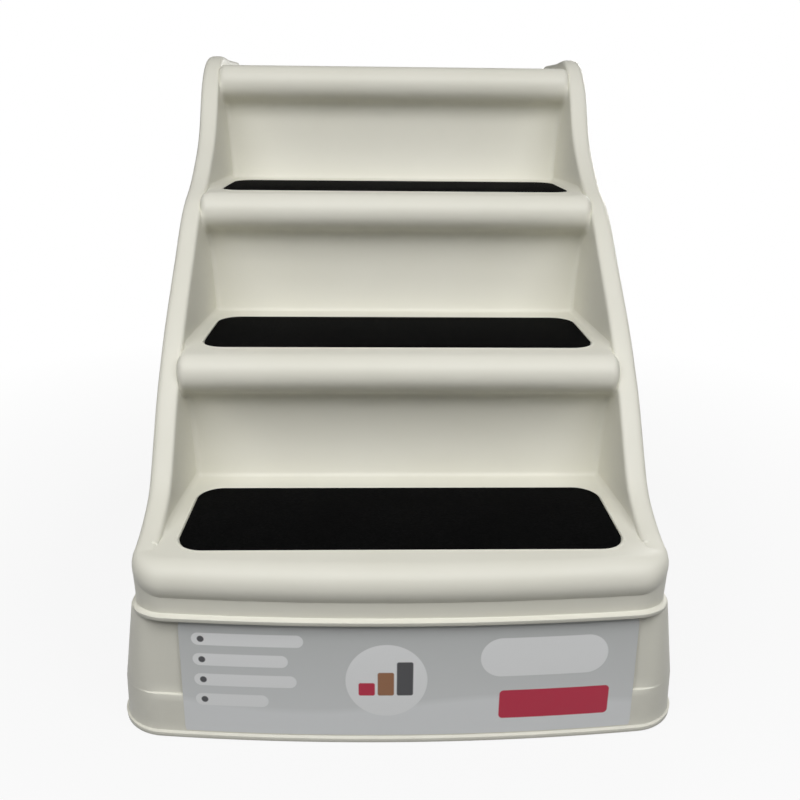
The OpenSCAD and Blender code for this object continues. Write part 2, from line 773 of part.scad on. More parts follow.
button_top = wall_in + wall - button_lip - button_play;
module rear_button(side)
    color(button_grey) placed() on_side(side) {
        rear_rod(rear_lock, stud_r, stud_tip + stud_gap, button_top);
        rear_rod(rear_lock, button_collar_r, button_top - button_collar_t, button_top);
        rear_rod(rear_lock, button_r, button_top - overrun, wall_in + wall + button_proud);
    }

module front_button(side)
    color(button_grey) placed() on_side(side) {
        front_rod(front_lock, stud_r, stud_tip + stud_gap, button_top);
        front_rod(front_lock, button_collar_r, button_top - button_collar_t, button_top);
        front_rod(front_lock, button_r, button_top - overrun, wall_in + wall + button_proud);
    }

module rear_button_guides()
    color(nylon) placed() for (side = [-1, 1]) on_side(side) difference() {
        union() {
            rear_rod(rear_lock, guide_r, rest_gap, rest_gap + guide_flange_t);
            rear_rod(rear_lock, button_chamber_r - seat_gap, rest_gap,
                     rest_gap + guide_flange_t + guide_plug_t);
        }
        rear_rod(rear_lock, stud_r + guide_bore_gap, 0, wall_in);
    }

module front_button_guides()
    color(nylon) placed() for (side = [-1, 1]) on_side(side) difference() {
        union() {
            front_rod(front_lock, guide_r, rest_gap, rest_gap + guide_flange_t);
            front_rod(front_lock, button_chamber_r - seat_gap, rest_gap,
                      rest_gap + guide_flange_t + guide_plug_t);
        }
        front_rod(front_lock, stud_r + guide_bore_gap, 0, wall_in);
    }

// Leaf spring outline from its lock stud, along y, before it is turned
module leaf_outline(l)
    polygon(concat(arc([0, 0], spring_w / 2, 90, 270, bend_steps),
                   arc([l, 0], spring_w / 2, -90, 90, bend_steps)));

module rear_lock_spring(side)
    color(spring_steel) placed() on_side(side) {
        difference() {
            along_x(rear_x(-ear_t - spring_t), rear_x(-ear_t))
                translate(rear_lock) rotate(leg_tilt - 90) leaf_outline(spring_l);
            rear_rod(rear_rivet, rivet_r + seat_gap, -ear_t - spring_t - overrun, overrun);
        }
        rear_rod(rear_lock, stud_r, -ear_t - spring_t, stud_tip);
    }

module front_lock_spring(side)
    color(spring_steel) placed() on_side(side) {
        difference() {
            along_x(front_x(-ear_t), front_x(-ear_t - spring_t))
                translate(front_lock) rotate(front_spring_turn) leaf_outline(spring_l);
            front_rod(front_rivet, rivet_r + seat_gap, -ear_t - spring_t - overrun, overrun);
        }
        front_rod(front_lock, stud_r, -ear_t - spring_t, stud_tip);
    }

spring_back = -ear_t - spring_t;
module rear_spring_rivets()
    color(steel) placed() for (side = [-1, 1]) on_side(side) {
        rear_rod(rear_rivet, rivet_r, spring_back - rivet_head_t, rivet_head_t);
        rear_rod(rear_rivet, rivet_head_r, spring_back - rivet_head_t, spring_back);
        rear_rod(rear_rivet, rivet_head_r, 0, rivet_head_t);
    }

module front_spring_rivets()
    color(steel) placed() for (side = [-1, 1]) on_side(side) {
        front_rod(front_rivet, rivet_r, spring_back - rivet_head_t, rivet_head_t);
        front_rod(front_rivet, rivet_head_r, spring_back - rivet_head_t, spring_back);
        front_rod(front_rivet, rivet_head_r, 0, rivet_head_t);
    }

// Rubber foot pads with a peg into the moulding
module foot_pad() {
    cylinder(r = pad_r, h = pad_out);
    cylinder(r = pad_peg_r, h = pad_out + pad_peg_l - overrun);
}

module rear_foot_pads()
    color(rubber) placed() for (side = [-1, 1])
        translate([side * rear_pad_x, rear_pad_y, 0]) foot_pad();

module front_foot_pads()
    color(rubber) placed() for (side = [-1, 1])
        translate([side * front_pad[0], front_pad[1], 0]) foot_pad();

// Printed card on the front of the base
card_top = base_top - card_top_gap;
card_turn = asin(card_shift / bow_r);
card_stations = [for (i = [-front_steps:front_steps])
    let (a = asin(card_w / 2 / bow_r) * i / front_steps)
    [[bow_r * sin(a + card_turn), bow_r - bow_r * cos(a + card_turn)],
     [sin(a + card_turn), -cos(a + card_turn)]]];
function card_ring(s) =
    let (line = [[base_in(card_z) - card_gap, card_z],
                 [base_in(ledge_z) - card_gap, ledge_z],
                 [base_in(card_top) - card_gap, card_top]])
    [for (q = concat([for (p = line) [p[0] - card_t, p[1]]], reversed(line)))
        base_point(s, q[0], q[1])];

module front_card() {
    rings = [for (s = card_stations) card_ring(s)];
    n = len(rings[0]);
    color(card_grey) placed()
        polyhedron(points = [for (ring = rings) for (q = ring) q],
                   faces = concat(sweep_faces(len(rings), n, false),
                                  band_caps(len(rings), n)), convexity = 4);
}

stair_shell();
front_base();
rear_leg();
tread_mat(0);  // tread_mat_1
tread_mat(1);  // tread_mat_2
tread_mat(2);  // tread_mat_3
tread_mat(3);  // tread_mat_4
rear_hinge_pin(-1);  // rear_hinge_pin_left
rear_hinge_pin(1);  // rear_hinge_pin_right
front_hinge_pin(-1);  // front_hinge_pin_left
front_hinge_pin(1);  // front_hinge_pin_right
rear_hinge_washers();
front_hinge_washers();
rear_button(-1);  // rear_button_left
rear_button(1);  // rear_button_right
front_button(-1);  // front_button_left
front_button(1);  // front_button_right
rear_button_guides();
front_button_guides();
rear_lock_spring(-1);  // rear_lock_spring_left
rear_lock_spring(1);  // rear_lock_spring_right
front_lock_spring(-1);  // front_lock_spring_left
front_lock_spring(1);  // front_lock_spring_right
rear_spring_rivets();
front_spring_rivets();
rear_foot_pads();
front_foot_pads();
front_card();
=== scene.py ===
"""Folding pet stairs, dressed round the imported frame.

The shell, the front base and the rear leg are modelled here as smooth
mouldings in the places of their plain solids. The mats, the card and the
fittings get their own pieces or finishes. Lengths are in metres, and y is
counted from the front of the base until a point is placed in the frame.
"""

import logging
from contextlib import contextmanager
from dataclasses import dataclass
from enum import Enum
from math import asin, copysign, cos, dist, hypot, pi, radians, sin, sqrt, tan, tau
from typing import Callable, Iterator, Sequence

import bpy
from mathutils import Matrix, Vector


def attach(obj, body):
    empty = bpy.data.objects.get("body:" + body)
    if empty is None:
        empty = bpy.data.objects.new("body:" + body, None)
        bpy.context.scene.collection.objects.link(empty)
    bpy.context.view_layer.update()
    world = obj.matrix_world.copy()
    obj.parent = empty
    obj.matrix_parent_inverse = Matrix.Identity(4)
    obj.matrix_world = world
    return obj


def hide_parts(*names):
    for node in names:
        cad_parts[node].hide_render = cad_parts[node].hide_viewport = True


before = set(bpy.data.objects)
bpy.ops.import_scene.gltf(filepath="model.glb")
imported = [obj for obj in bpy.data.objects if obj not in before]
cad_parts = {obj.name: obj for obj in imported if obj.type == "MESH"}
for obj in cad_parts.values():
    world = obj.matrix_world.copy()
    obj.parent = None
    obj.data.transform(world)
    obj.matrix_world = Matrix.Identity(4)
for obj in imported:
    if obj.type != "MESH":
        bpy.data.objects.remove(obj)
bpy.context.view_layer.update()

LOG = logging.getLogger("pet_stairs")
MM = 0.001
FRONT_Y = -330.071 * MM

Obj = bpy.types.Object
Socket = bpy.types.NodeSocket
Pair = tuple[float, float]
Point = tuple[float, float, float]
Plan = Callable[[int, int], Vector]


class Body(Enum):
    """Moving bodies of the stairs, named as in the record."""

    SHELL = "shell"
    BASE = "base"
    LEG = "leg"


class Finish(Enum):
    """Material slots of the record."""

    CREAM = "moulded_cream"
    MAT = "tread_mat"
    PIN = "pin_steel"
    RIVET = "rivet_steel"
    SPRING = "spring_steel"
    NYLON = "nylon"
    BUTTON = "button_plastic"
    RUBBER = "foot_rubber"
    CARD = "card"


class Side(Enum):
    """Left and right side, seen from the front."""

    LEFT = -1
    RIGHT = 1


def mix(low: float, high: float, share: float) -> float:
    """Value that lies the given share of the way from low to high."""
    return low + (high - low) * share


def clamp(value: float) -> float:
    """Value held between nought and one."""
    return max(0.0, min(1.0, value))


def ease(low: float, high: float, value: float) -> float:
    """Smooth step from nought at low to one at high."""
    share = clamp((value - low) / (high - low))
    return share * share * (3 - 2 * share)


def soft_max(first: float, second: float, width: float) -> float:
    """Larger of two values, rounded where they are nearly equal."""
    return (first + second + hypot(first - second, width)) / 2


def soft_min(first: float, second: float, width: float) -> float:
    """Smaller of two values, rounded where they are nearly equal."""
    return -soft_max(-first, -second, width)


def smooth_row(rows: Sequence[Pair], at: float) -> float:
    """Reads a table of places and values along a smooth curve.

    Args:
        rows: Places in rising order, each with its value.
        at: Place to read.

    Returns:
        Value at that place, held level beyond the ends.
    """
    if at <= rows[0][0]:
        return rows[0][1]
    if at >= rows[-1][0]:
        return rows[-1][1]
    low = max(i for i, row in enumerate(rows[:-1]) if row[0] <= at)

    def slope(index: int) -> float:
        """Slope of the curve at a row, from its neighbours."""
        before = rows[max(index - 1, 0)]
        after = rows[min(index + 1, len(rows) - 1)]
        return (after[1] - before[1]) / (after[0] - before[0])

    step = rows[low + 1][0] - rows[low][0]
    t = (at - rows[low][0]) / step
    return ((2 * t**3 - 3 * t**2 + 1) * rows[low][1]
            + (t**3 - 2 * t**2 + t) * step * slope(low)
            + (3 * t**2 - 2 * t**3) * rows[low + 1][1]
            + (t**3 - t**2) * step * slope(low + 1))


def smooth_path(points: Sequence[Pair], parts: int) -> list[Pair]:
    """Draws a smooth line through given points.

    Args:
        points: Points that the line passes through.
        parts: Stretches between two neighbouring points.

    Returns:
        Points along the line, first and last included.
    """
    line = []
    for i in range(len(points) - 1):
        a, b = points[i], points[i + 1]
        before = points[max(i - 1, 0)]
        after = points[min(i + 2, len(points) - 1)]
        for k in range(parts):
            t = k / parts
            line.append(tuple(
                0.5 * (2 * b0 + (b1 - a0) * t + (2 * a0 - 5 * b0 + 4 * b1 - a1) * t**2
                       + (3 * b0 - a0 - 3 * b1 + a1) * t**3)
                for a0, b0, b1, a1 in zip(before, a, b, after)))
    return line + [tuple(points[-1])]


def arc(centre: Pair, radius: float, start: float, end: float, parts: int) -> list[Pair]:
    """Points of an arc, with its angles in degrees."""
    turns = [radians(mix(start, end, i / parts)) for i in range(parts + 1)]
    return [(centre[0] + radius * cos(a), centre[1] + radius * sin(a))
            for a in turns]


@dataclass(frozen=True)
class StairSizes:
    """Driving sizes of the stairs, in metres from the front of the base."""

    length: float = 660.142 * MM
    height: float = 500 * MM
    tread_height: float = 150 * MM
    rise: float = 113.5 * MM
    run: float = 149 * MM
    steps: int = 4
    nose_radius: float = 17 * MM
    riser_depth: float = 24 * MM
    wall: float = 3 * MM
    half_width: float = 202.5 * MM
    rail_width: float = 19 * MM
    rail_radius: float = 9.5 * MM
    shell_front: float = 6 * MM
    shell_back: float = 629.1 * MM
    front_corner: float = 28 * MM
    back_corner: float = 24 * MM
    bow_radius: float = 1800 * MM
    skirt_low: float = 105.5 * MM
    hip_low: float = 378 * MM
    leg_tilt: float = radians(4.1)

    @property
    def top_tread(self) -> float:
        """Height of the top platform."""
        return self.tread_height + (self.steps - 1) * self.rise

    @property
    def slope(self) -> float:
        """Rise over run."""
        return self.rise / self.run

    def nose(self, step: int) -> float:
        """Front of a nosing, with the first step as nought."""
        return self.shell_front + step * self.run

    def tread(self, step: int) -> float:
        """Height of a tread, with the first step as nought."""
        return self.tread_height + step * self.rise

    def bow(self, x: float) -> float:
        """How far the bowed front falls back at a place across."""
        return self.bow_radius - sqrt(self.bow_radius**2 - x * x)


SIZES = StairSizes()


@dataclass(frozen=True)
class Station:
    """Place on an outline seen from above, with its outward direction."""

    x: float
    y: float
    nx: float
    ny: float

    def inward(self, depth: float, height: float) -> Vector:
        """Point at a depth inside the outline, in the frame."""
        return Vector((self.x - depth * self.nx, FRONT_Y + self.y - depth * self.ny, height))


def turned(x: float, y: float, radius: float, turns: Sequence[float]) -> list[Station]:
    """Stations round a centre, at angles from straight ahead."""
    return [Station(x + radius * sin(a), y - radius * cos(a), sin(a), -cos(a))
            for a in turns]


def bowed_front(half: float, front: float, corner: float,
                parts: tuple[int, int]) -> list[Station]:
    """Right half of a bowed front with a round corner.

    Args:
        half: Half of the width.
        front: Place of the front in the middle.
        corner: Radius of the corner.
        parts: Stretches along the bow and round the corner.

    Returns:
        Stations from the middle of the front to the start of the side.
    """
    middle = front + SIZES.bow_radius
    reach = SIZES.bow_radius - corner
    turn = asin((half - corner) / reach)
    centre = middle - sqrt(reach**2 - (half - corner) ** 2)
    bow = [turn * i / parts[0] for i in range(parts[0])]
    bend = [mix(turn, pi / 2, i / parts[1]) for i in range(parts[1] + 1)]
    return (turned(0.0, middle, SIZES.bow_radius, bow)
            + turned(half - corner, centre, corner, bend))


def mirrored(stations: Sequence[Station]) -> list[Station]:
    """The same stations on the left side, in the reverse order."""
    return [Station(-s.x, s.y, -s.nx, s.ny) for s in reversed(stations) if s.x > 1e-9]


class Bench:
    """Small set of modelling steps shared by every piece."""

    @staticmethod
    def only(obj: Obj) -> None:
        """Selects one object and makes it active.

        Args:
            obj: The object.
        """
        bpy.ops.object.select_all(action="DESELECT")
        obj.select_set(True)
        bpy.context.view_layer.objects.active = obj

    @staticmethod
    def name(obj: Obj, name: str) -> Obj:
        """Names an object and its mesh."""
        obj.name = obj.data.name = name
        return obj

    @classmethod
    def add(cls, name: str, operator: Callable, **values: object) -> Obj:
        """Adds one of Blender's own meshes.

        Args:
            name: Its name.
            operator: Operator that adds the mesh.
            values: Settings of the operator.

        Returns:
            The new object.
        """
        bpy.ops.object.select_all(action="DESELECT")
        operator(**values)
        return cls.name(bpy.context.active_object, name)

    @classmethod
    @contextmanager
    def editing(cls, obj: Obj, mode: str = "VERT", action: str = "SELECT") -> Iterator[None]:
        """Holds an object in edit mode.

        Args:
            obj: Object to edit.
            mode: Kind of element that is picked.
            action: What is done with the whole selection at the start.

        Yields:
            Nothing, while the edit mode lasts.
        """
        cls.only(obj)
        bpy.ops.object.mode_set(mode="EDIT")
        bpy.ops.mesh.select_mode(type=mode)
        bpy.ops.mesh.select_all(action=action)
        yield
        bpy.ops.object.mode_set(mode="OBJECT")

    @classmethod
    def grid(cls, name: str, across: int, along: int, place: Plan) -> Obj:
        """Adds a grid and lays each of its points where the plan says.

        Args:
            name: Its name.
            across: Stretches across the grid.
            along: Stretches along the grid.
            place: Gives the point for the counts across and along.

        Returns:
            The formed sheet.
        """
        obj = cls.add(name, bpy.ops.mesh.primitive_grid_add,
                      x_subdivisions=across, y_subdivisions=along, size=2)
        for vertex in obj.data.vertices:
            vertex.co = place(round((vertex.co.x + 1) / 2 * across),
                              round((vertex.co.y + 1) / 2 * along))
        return obj

    @classmethod
    def sweep(cls, name: str, rings: Sequence[Sequence[Vector]], closed: bool = True) -> Obj:
        """Skins a row of closed sections.

        Args:
            name: Its name.
            rings: The sections, all of equally many points.
            closed: Whether the last section meets the first.

        Returns:
            The solid, with its ends filled where it has any.
        """
        count, points = len(rings), len(rings[0])
        along = count if closed else count - 1
        obj = cls.grid(name, points, along, lambda i, j: rings[j % count][i % points])
        cls.close_seams(obj)
        if not closed:
            with cls.editing(obj, action="DESELECT"):
                bpy.ops.mesh.select_non_manifold()
                bpy.ops.mesh.edge_face_add()
                bpy.ops.mesh.select_all(action="SELECT")
                bpy.ops.mesh.normals_make_consistent(inside=False)
        return obj

    @classmethod
    def close_seams(cls, obj: Obj, gap: float = 0.01 * MM) -> None:
        """Merges points that meet and turns the faces outwards.

        Args:
            obj: Object to close.
            gap: Distance up to which points meet.
        """
        with cls.editing(obj):
            bpy.ops.mesh.remove_doubles(threshold=gap)
            bpy.ops.mesh.normals_make_consistent(inside=False)

    @classmethod
    def apply(cls, obj: Obj, kind: str, **values: object) -> Obj:
        """Adds a modifier with the given values and applies it.

        Args:
            obj: Object to change.
            kind: Type of the modifier.
            values: Settings of the modifier.

        Returns:
            The same object.
        """
        cls.only(obj)
        modifier = obj.modifiers.new(kind.title(), kind)
        for key, value in values.items():
            setattr(modifier, key, value)
        bpy.ops.object.modifier_apply(modifier=modifier.name)
        return obj

    @classmethod
    def combine(cls, obj: Obj, other: Obj, how: str = "DIFFERENCE") -> None:
        """Cuts, joins or intersects two solids and removes the second."""
        cls.apply(obj, "BOOLEAN", object=other, operation=how, solver="EXACT")
        bpy.data.objects.remove(other, do_unlink=True)

    @classmethod
    def join(cls, name: str, parts: Sequence[Obj]) -> Obj:
        """Makes one object of several, each keeping its own shape.

        Args:
            name: Its name.
            parts: Objects to join.

        Returns:
            The first of them, which now holds them all.
        """
        cls.only(parts[0])
        for part in parts:
            part.select_set(True)
        bpy.ops.object.join()
        return cls.name(parts[0], name)

    @classmethod
    def smooth(cls, obj: Obj, degrees: float) -> Obj:
        """Shades an object smooth up to an angle between its faces.

        Args:
            obj: Object to shade.
            degrees: Largest angle that stays smooth.

        Returns:
            The same object.
        """
        cls.only(obj)
        bpy.ops.object.shade_smooth_by_angle(angle=radians(degrees))
        return obj

    @classmethod
    def round_edges(cls, obj: Obj, width: float) -> Obj:
        """Rounds the sharp edges of a solid."""
        return cls.apply(obj, "BEVEL", width=width, segments=2, limit_method="ANGLE",
                         angle_limit=radians(50))

    @classmethod
    def round_ends(cls, obj: Obj, radius: float, both: bool = True) -> None:
        """Rounds the rims of a piece that stands along z.

        Args:
            obj: The piece.
            radius: Radius of its rims.
            both: Whether its lower rim is rounded too.
        """
        with cls.editing(obj, "FACE", "DESELECT"):
            bpy.ops.object.mode_set(mode="OBJECT")
            for face in obj.data.polygons:
                face.select = (abs(face.normal.z) if both else face.normal.z) > 0.9
            bpy.ops.object.mode_set(mode="EDIT")
            bpy.ops.mesh.bevel(offset=radius, segments=3)

    @classmethod
    def block(cls, name: str, low: Sequence[float], high: Sequence[float]) -> Obj:
        """Adds a block between two corners.

        Args:
            name: Its name.
            low: Lowest corner.
            high: Highest corner.

        Returns:
            The block.
        """
        obj = cls.add(name, bpy.ops.mesh.primitive_cube_add, size=1)
        middle = Vector([(a + b) / 2 for a, b in zip(low, high)]) + Vector((0, FRONT_Y, 0))
        span = [b - a for a, b in zip(low, high)]
        obj.data.transform(Matrix.Translation(middle) @ Matrix.Diagonal((*span, 1)))
        return obj

    @classmethod
    def rod(cls, name: str, at: Pair, radius: float, x: Pair, edge: float = 0.0) -> Obj:
        """Adds a round bar that lies across the stairs.

        Args:
            name: Its name.
            at: Place of its axis, y and z.
            radius: Radius of the bar.
            x: Where it starts and ends across.
            edge: Radius of the rims.

        Returns:
            The bar.
        """
        obj = cls.add(name, bpy.ops.mesh.primitive_cylinder_add,
                      vertices=40, radius=radius, depth=abs(x[1] - x[0]))
        if edge:
            cls.round_ends(obj, edge)
        place = Matrix.Translation(((x[0] + x[1]) / 2, FRONT_Y + at[0], at[1]))
        obj.data.transform(place @ Matrix.Rotation(pi / 2, 4, "Y"))
        return obj

    @classmethod
    def bore(cls, obj: Obj, at: Pair, radius: float, x: Pair,
             sides: Sequence[Side] = tuple(Side)) -> None:
        """Bores a round hole across a solid.

        Args:
            obj: Solid to bore.
            at: Place of its axis, y and z.
            radius: Radius of the hole.
            x: Where the hole starts and ends on the right.
            sides: Sides that get the hole.
        """
        for side in sides:
            hole = cls.rod("bore", at, radius, (side.value * x[0], side.value * x[1]))
            cls.combine(obj, hole)

    @classmethod
    def extrude(cls, name: str, outline: Sequence[Point], by: Point) -> Obj:
        """Extrudes a flat outline into a solid.

        Args:
            name: Its name.
            outline: Points of the outline, in the frame.
            by: How far it is extruded along each axis.

        Returns:
            The closed solid.
        """
        mesh = bpy.data.meshes.new(name)
        obj = bpy.data.objects.new(name, mesh)
        bpy.context.scene.collection.objects.link(obj)
        mesh.from_pydata(outline, [], [list(range(len(outline)))])
        with cls.editing(obj, "FACE"):
            bpy.ops.mesh.extrude_region_move(TRANSFORM_OT_translate={"value": by})
            bpy.ops.mesh.select_all(action="SELECT")
            bpy.ops.mesh.normals_make_consistent(inside=False)
        return obj

    @classmethod
    def prism(cls, name: str, outline: Sequence[Pair], x: Pair) -> Obj:
        """Extrudes an outline in y and z across the stairs."""
        line = [(x[0], FRONT_Y + y, z) for y, z in outline]
        return cls.extrude(name, line, (x[1] - x[0], 0, 0))

    @classmethod
    def slab(cls, name: str, outline: Sequence[Pair], z: Pair) -> Obj:
        """Extrudes an outline in x and y upwards."""
        line = [(x, FRONT_Y + y, z[0]) for x, y in outline]
        return cls.extrude(name, line, (0, 0, z[1] - z[0]))

    @classmethod
    def twin(cls, obj: Obj) -> Obj:
        """Mirrors a copy of a right-hand piece to the left.

        Args:
            obj: The piece on the right.

        Returns:
            Its copy, named after it.
        """
        copy = obj.copy()
        copy.data = obj.data.copy()
        bpy.context.scene.collection.objects.link(copy)
        cls.name(copy, obj.name + "_left")
        copy.data.transform(Matrix.Diagonal((-1, 1, 1, 1)))
        cls.close_seams(copy, 0.0001 * MM)
        return copy


def rounded_outline(half: float, front: float, depth: float, radius: float,
                    parts: int) -> list[Pair]:
    """Rounded rectangle seen from above, centred across the stairs.

    Args:
        half: Half of its width.
        front: Place of its front edge.
        depth: Depth from front to back.
        radius: Radius of its corners.
        parts: Stretches round each corner.

    Returns:
        Its points, starting at the right front corner.
    """
    x, near, far = half - radius, front + radius, front + depth - radius
    corners = ((x, near, -90), (x, far, 0), (-x, far, 90), (-x, near, 180))
    return [point for across, along, start in corners
            for point in arc((across, along), radius, start, start + 90, parts)]


def left_normals(line: Sequence[Pair], closed: bool = False) -> list[Pair]:
    """Directions that point to the left of a line at each of its points.

    Args:
        line: Points of the line.
        closed: Whether the last point is followed by the first.

    Returns:
        One direction of unit length for each point.
    """
    last = len(line) - 1
    normals = []
    for i in range(len(line)):
        before, after = line[i - 1], line[(i + 1) % len(line)]
        if not closed:
            before, after = line[max(i - 1, 0)], line[min(i + 1, last)]
        length = dist(before, after)
        normals.append(((before[1] - after[1]) / length, (after[0] - before[0]) / length))
    return normals


@dataclass(frozen=True)
class Grain:
    """Noise of one size."""

    scale: float
    detail: float = 2.0
    rough: float = 0.5


class Nodes:
    """Writes a material's node tree with short calls."""

    def __init__(self, name: str) -> None:
        """Starts an empty material with a Principled shader.

        Args:
            name: Name of the material.
        """
        self.material = bpy.data.materials.new(name)
        self.material.use_nodes = True
        self.tree = self.material.node_tree
        self.tree.nodes.clear()
        self.output = self.add("OutputMaterial")
        self.shader = self.add("BsdfPrincipled")
        self.tree.links.new(self.shader.outputs[0], self.output.inputs[0])
        self.place = self.add("TexCoord").outputs["Object"]

    def feed(self, socket: Socket, value: object) -> None:
        """Links a socket to another one, or sets its value.

        Args:
            socket: Socket to feed.
            value: Another socket or a plain value.
        """
        if isinstance(value, Socket):
            self.tree.links.new(value, socket)
        else:
            socket.default_value = value

    def add(self, kind: str, inputs: dict[str | int, object] | None = None,
            **values: object) -> bpy.types.Node:
        """Adds a node.

        Args:
            kind: Node type without its prefix.
            inputs: Values or sockets for its inputs.
            values: Settings of the node.

        Returns:
            The new node.
        """
        node = self.tree.nodes.new("ShaderNode" + kind)
        for key, value in values.items():
            setattr(node, key, value)
        for key, value in (inputs or {}).items():
            self.feed(node.inputs[key], value)
        return node

    def math(self, how: str, first: object, second: object = 0.0) -> Socket:
        """Result of one sum."""
        return self.add("Math", {0: first, 1: second}, operation=how).outputs[0]

    def noise(self, grain: Grain, place: Socket | None = None) -> Socket:
        """Noise over the object's own coordinates, or over a place."""
        inputs = {"Vector": place or self.place, "Scale": grain.scale,
                  "Detail": grain.detail, "Roughness": grain.rough}
        return self.add("TexNoise", inputs).outputs[0]

    def span(self, value: object, low: float, high: float, start: float = 0.0,
             end: float = 1.0) -> Socket:
        """Maps the span from low to high onto that from start to end."""
        return self.add("MapRange", {0: value, 1: low, 2: high, 3: start, 4: end}).outputs[0]

    def gloss(self, noise: Socket, middle: float, below: float, above: float) -> Socket:
        """Roughness round a middle value, varied by a noise."""
        return self.span(noise, 0.3, 0.7, middle - below, middle + above)

    def blend(self, share: object, first: object, second: object) -> Socket:
        """Mixes two colours."""
        node = self.add("Mix", {0: share, 6: first, 7: second}, data_type="RGBA")
        return node.outputs[2]

    def bump(self, height: Socket, strength: float, depth: float,
             under: Socket | None = None) -> Socket:
        """Bump of a height.

        Args:
            height: Height of the surface, from nought to one.
            strength: Share of the bump that is kept.
            depth: Distance from nought to one.
            under: Another bump that this one is laid over.

        Returns:
            The bumped normal.
        """
        inputs = {"Height": height, "Strength": strength, "Distance": depth}
        if under is not None:
            inputs["Normal"] = under
        return self.add("Bump", inputs).outputs[0]

    def set(self, **inputs: object) -> bpy.types.Material:
        """Sets the shader's inputs, with underscores for spaces."""
        for key, value in inputs.items():
            self.feed(self.shader.inputs[key.replace("_", " ")], value)
        return self.material


@dataclass(frozen=True)
class MouldedPlastic:
    """Satin polypropylene with a fine spark-eroded grain."""

    name: str = "cream_moulding"
    colour: tuple = (0.79, 0.777, 0.69, 1)
    deeper: tuple = (0.765, 0.752, 0.66, 1)
    dust: tuple = (0.66, 0.645, 0.57, 1)
    roughness: float = 0.44
    specular: float = 0.42
    clouds: Grain = Grain(7, 3, 0.55)
    scuffs: Grain = Grain(60, 4, 0.7)
    scuff_top: float = 60 * MM
    spark: Grain = Grain(1900, 2, 0.6)
    spark_depth: float = 0.12 * MM
    sinks: Grain = Grain(22, 1)
    sink_depth: float = 0.6 * MM
    satin: Grain = Grain(180, 3)

    def build(self) -> bpy.types.Material:
        """Makes the material."""
        n = Nodes(self.name)
        tint = n.blend(n.span(n.noise(self.clouds), 0.35, 0.7), self.colour, self.deeper)
        height = n.add("SeparateXYZ", {0: n.place}).outputs[2]
        foot = n.span(height, 0.0, self.scuff_top, 0.35, 0.0)
        scuff = n.math("MULTIPLY", foot, n.span(n.noise(self.scuffs), 0.45, 0.75))
        sink = n.bump(n.noise(self.sinks), 0.25, self.sink_depth)
        return n.set(Base_Color=n.blend(scuff, tint, self.dust),
                     Roughness=n.gloss(n.noise(self.satin), self.roughness, 0.04, 0.06),
                     Normal=n.bump(n.noise(self.spark), 0.22, self.spark_depth, sink),
                     Specular_IOR_Level=self.specular)


@dataclass(frozen=True)
class PileMat:
    """Black non-slip mat with a short, dense pile."""

    name: str = "black_pile"
    colour: tuple = (0.0022, 0.0023, 0.0024, 1)
    tips: tuple = (0.0065, 0.0066, 0.0068, 1)
    roughness: float = 0.95
    specular: float = 0.03
    fibre_scale: float = 900.0
    fibre_depth: float = 0.4 * MM
    loops: Grain = Grain(420, 3, 0.7)
    loop_depth: float = 0.7 * MM
    wear: Grain = Grain(14, 3, 0.6)

    def build(self) -> bpy.types.Material:
        """Makes the material."""
        n = Nodes(self.name)
        cells = n.add("TexVoronoi", {"Vector": n.place, "Scale": self.fibre_scale}).outputs[0]
        loops = n.noise(self.loops)
        worn = n.span(n.noise(self.wear), 0.4, 0.7, 0, 0.6)
        share = n.math("MULTIPLY", n.span(loops, 0.4, 0.7), n.math("ADD", worn, 0.4))
        fibres = n.bump(cells, 0.6, self.fibre_depth)
        return n.set(Base_Color=n.blend(share, self.colour, self.tips),
                     Roughness=self.roughness, Specular_IOR_Level=self.specular,
                     Normal=n.bump(loops, 0.7, self.loop_depth, fibres))


@dataclass(frozen=True)
class Steel:
    """Drawn or plated steel with fine lines along the bar."""

    name: str
    colour: tuple
    roughness: float
    lines: Grain = Grain(900, 3)
    stretch: tuple = (1.0, 0.06, 0.06)
    spots: Grain = Grain(140, 3, 0.65)
    dulling: float = 0.72

    def build(self) -> bpy.types.Material:
        """Makes the material."""
        n = Nodes(self.name)
        along = n.add("Mapping", {"Vector": n.place, "Scale": self.stretch}).outputs[0]
        drawn = n.noise(self.lines, along)
        dull = tuple(c * self.dulling for c in self.colour[:3]) + (1,)
        share = n.span(n.noise(self.spots), 0.45, 0.75, 0, 0.7)
        return n.set(Base_Color=n.blend(share, self.colour, dull), Metallic=1.0,
                     Roughness=n.gloss(drawn, self.roughness, 0.08, 0.1),
                     Normal=n.bump(drawn, 0.2, 0.08 * MM))


@dataclass(frozen=True)
class PlainMoulding:
    """Small moulded part of nylon, grey plastic or rubber."""

    name: str
    colour: tuple
    roughness: float
    grain: Grain = Grain(1400, 2, 0.6)
    depth: float = 0.1 * MM
    wear: Grain = Grain(95, 4, 0.65)
    satin: Grain = Grain(260, 2)

    def build(self) -> bpy.types.Material:
        """Makes the material."""
        n = Nodes(self.name)
        worn = tuple(min(1.0, c * 1.35 + 0.01) for c in self.colour[:3]) + (1,)
        share = n.span(n.noise(self.wear), 0.5, 0.8, 0, 0.8)
        return n.set(Base_Color=n.blend(share, self.colour, worn),
                     Roughness=n.gloss(n.noise(self.satin), self.roughness, 0.05, 0.05),
                     Normal=n.bump(n.noise(self.grain), 0.3, self.depth))


class Ink(Enum):
    """Colours of the card's paper and of the blocks on it."""

    TOP = (0.56, 0.575, 0.57, 1)
    FOOT = (0.72, 0.735, 0.735, 1)
    HILL = (0.80, 0.815, 0.82, 1)
    PILL = (0.86, 0.87, 0.87, 1)
    CRIMSON = (0.50, 0.006, 0.045, 1)
    BLACK = (0.05, 0.05, 0.055, 1)
    BROWN = (0.30, 0.13, 0.055, 1)


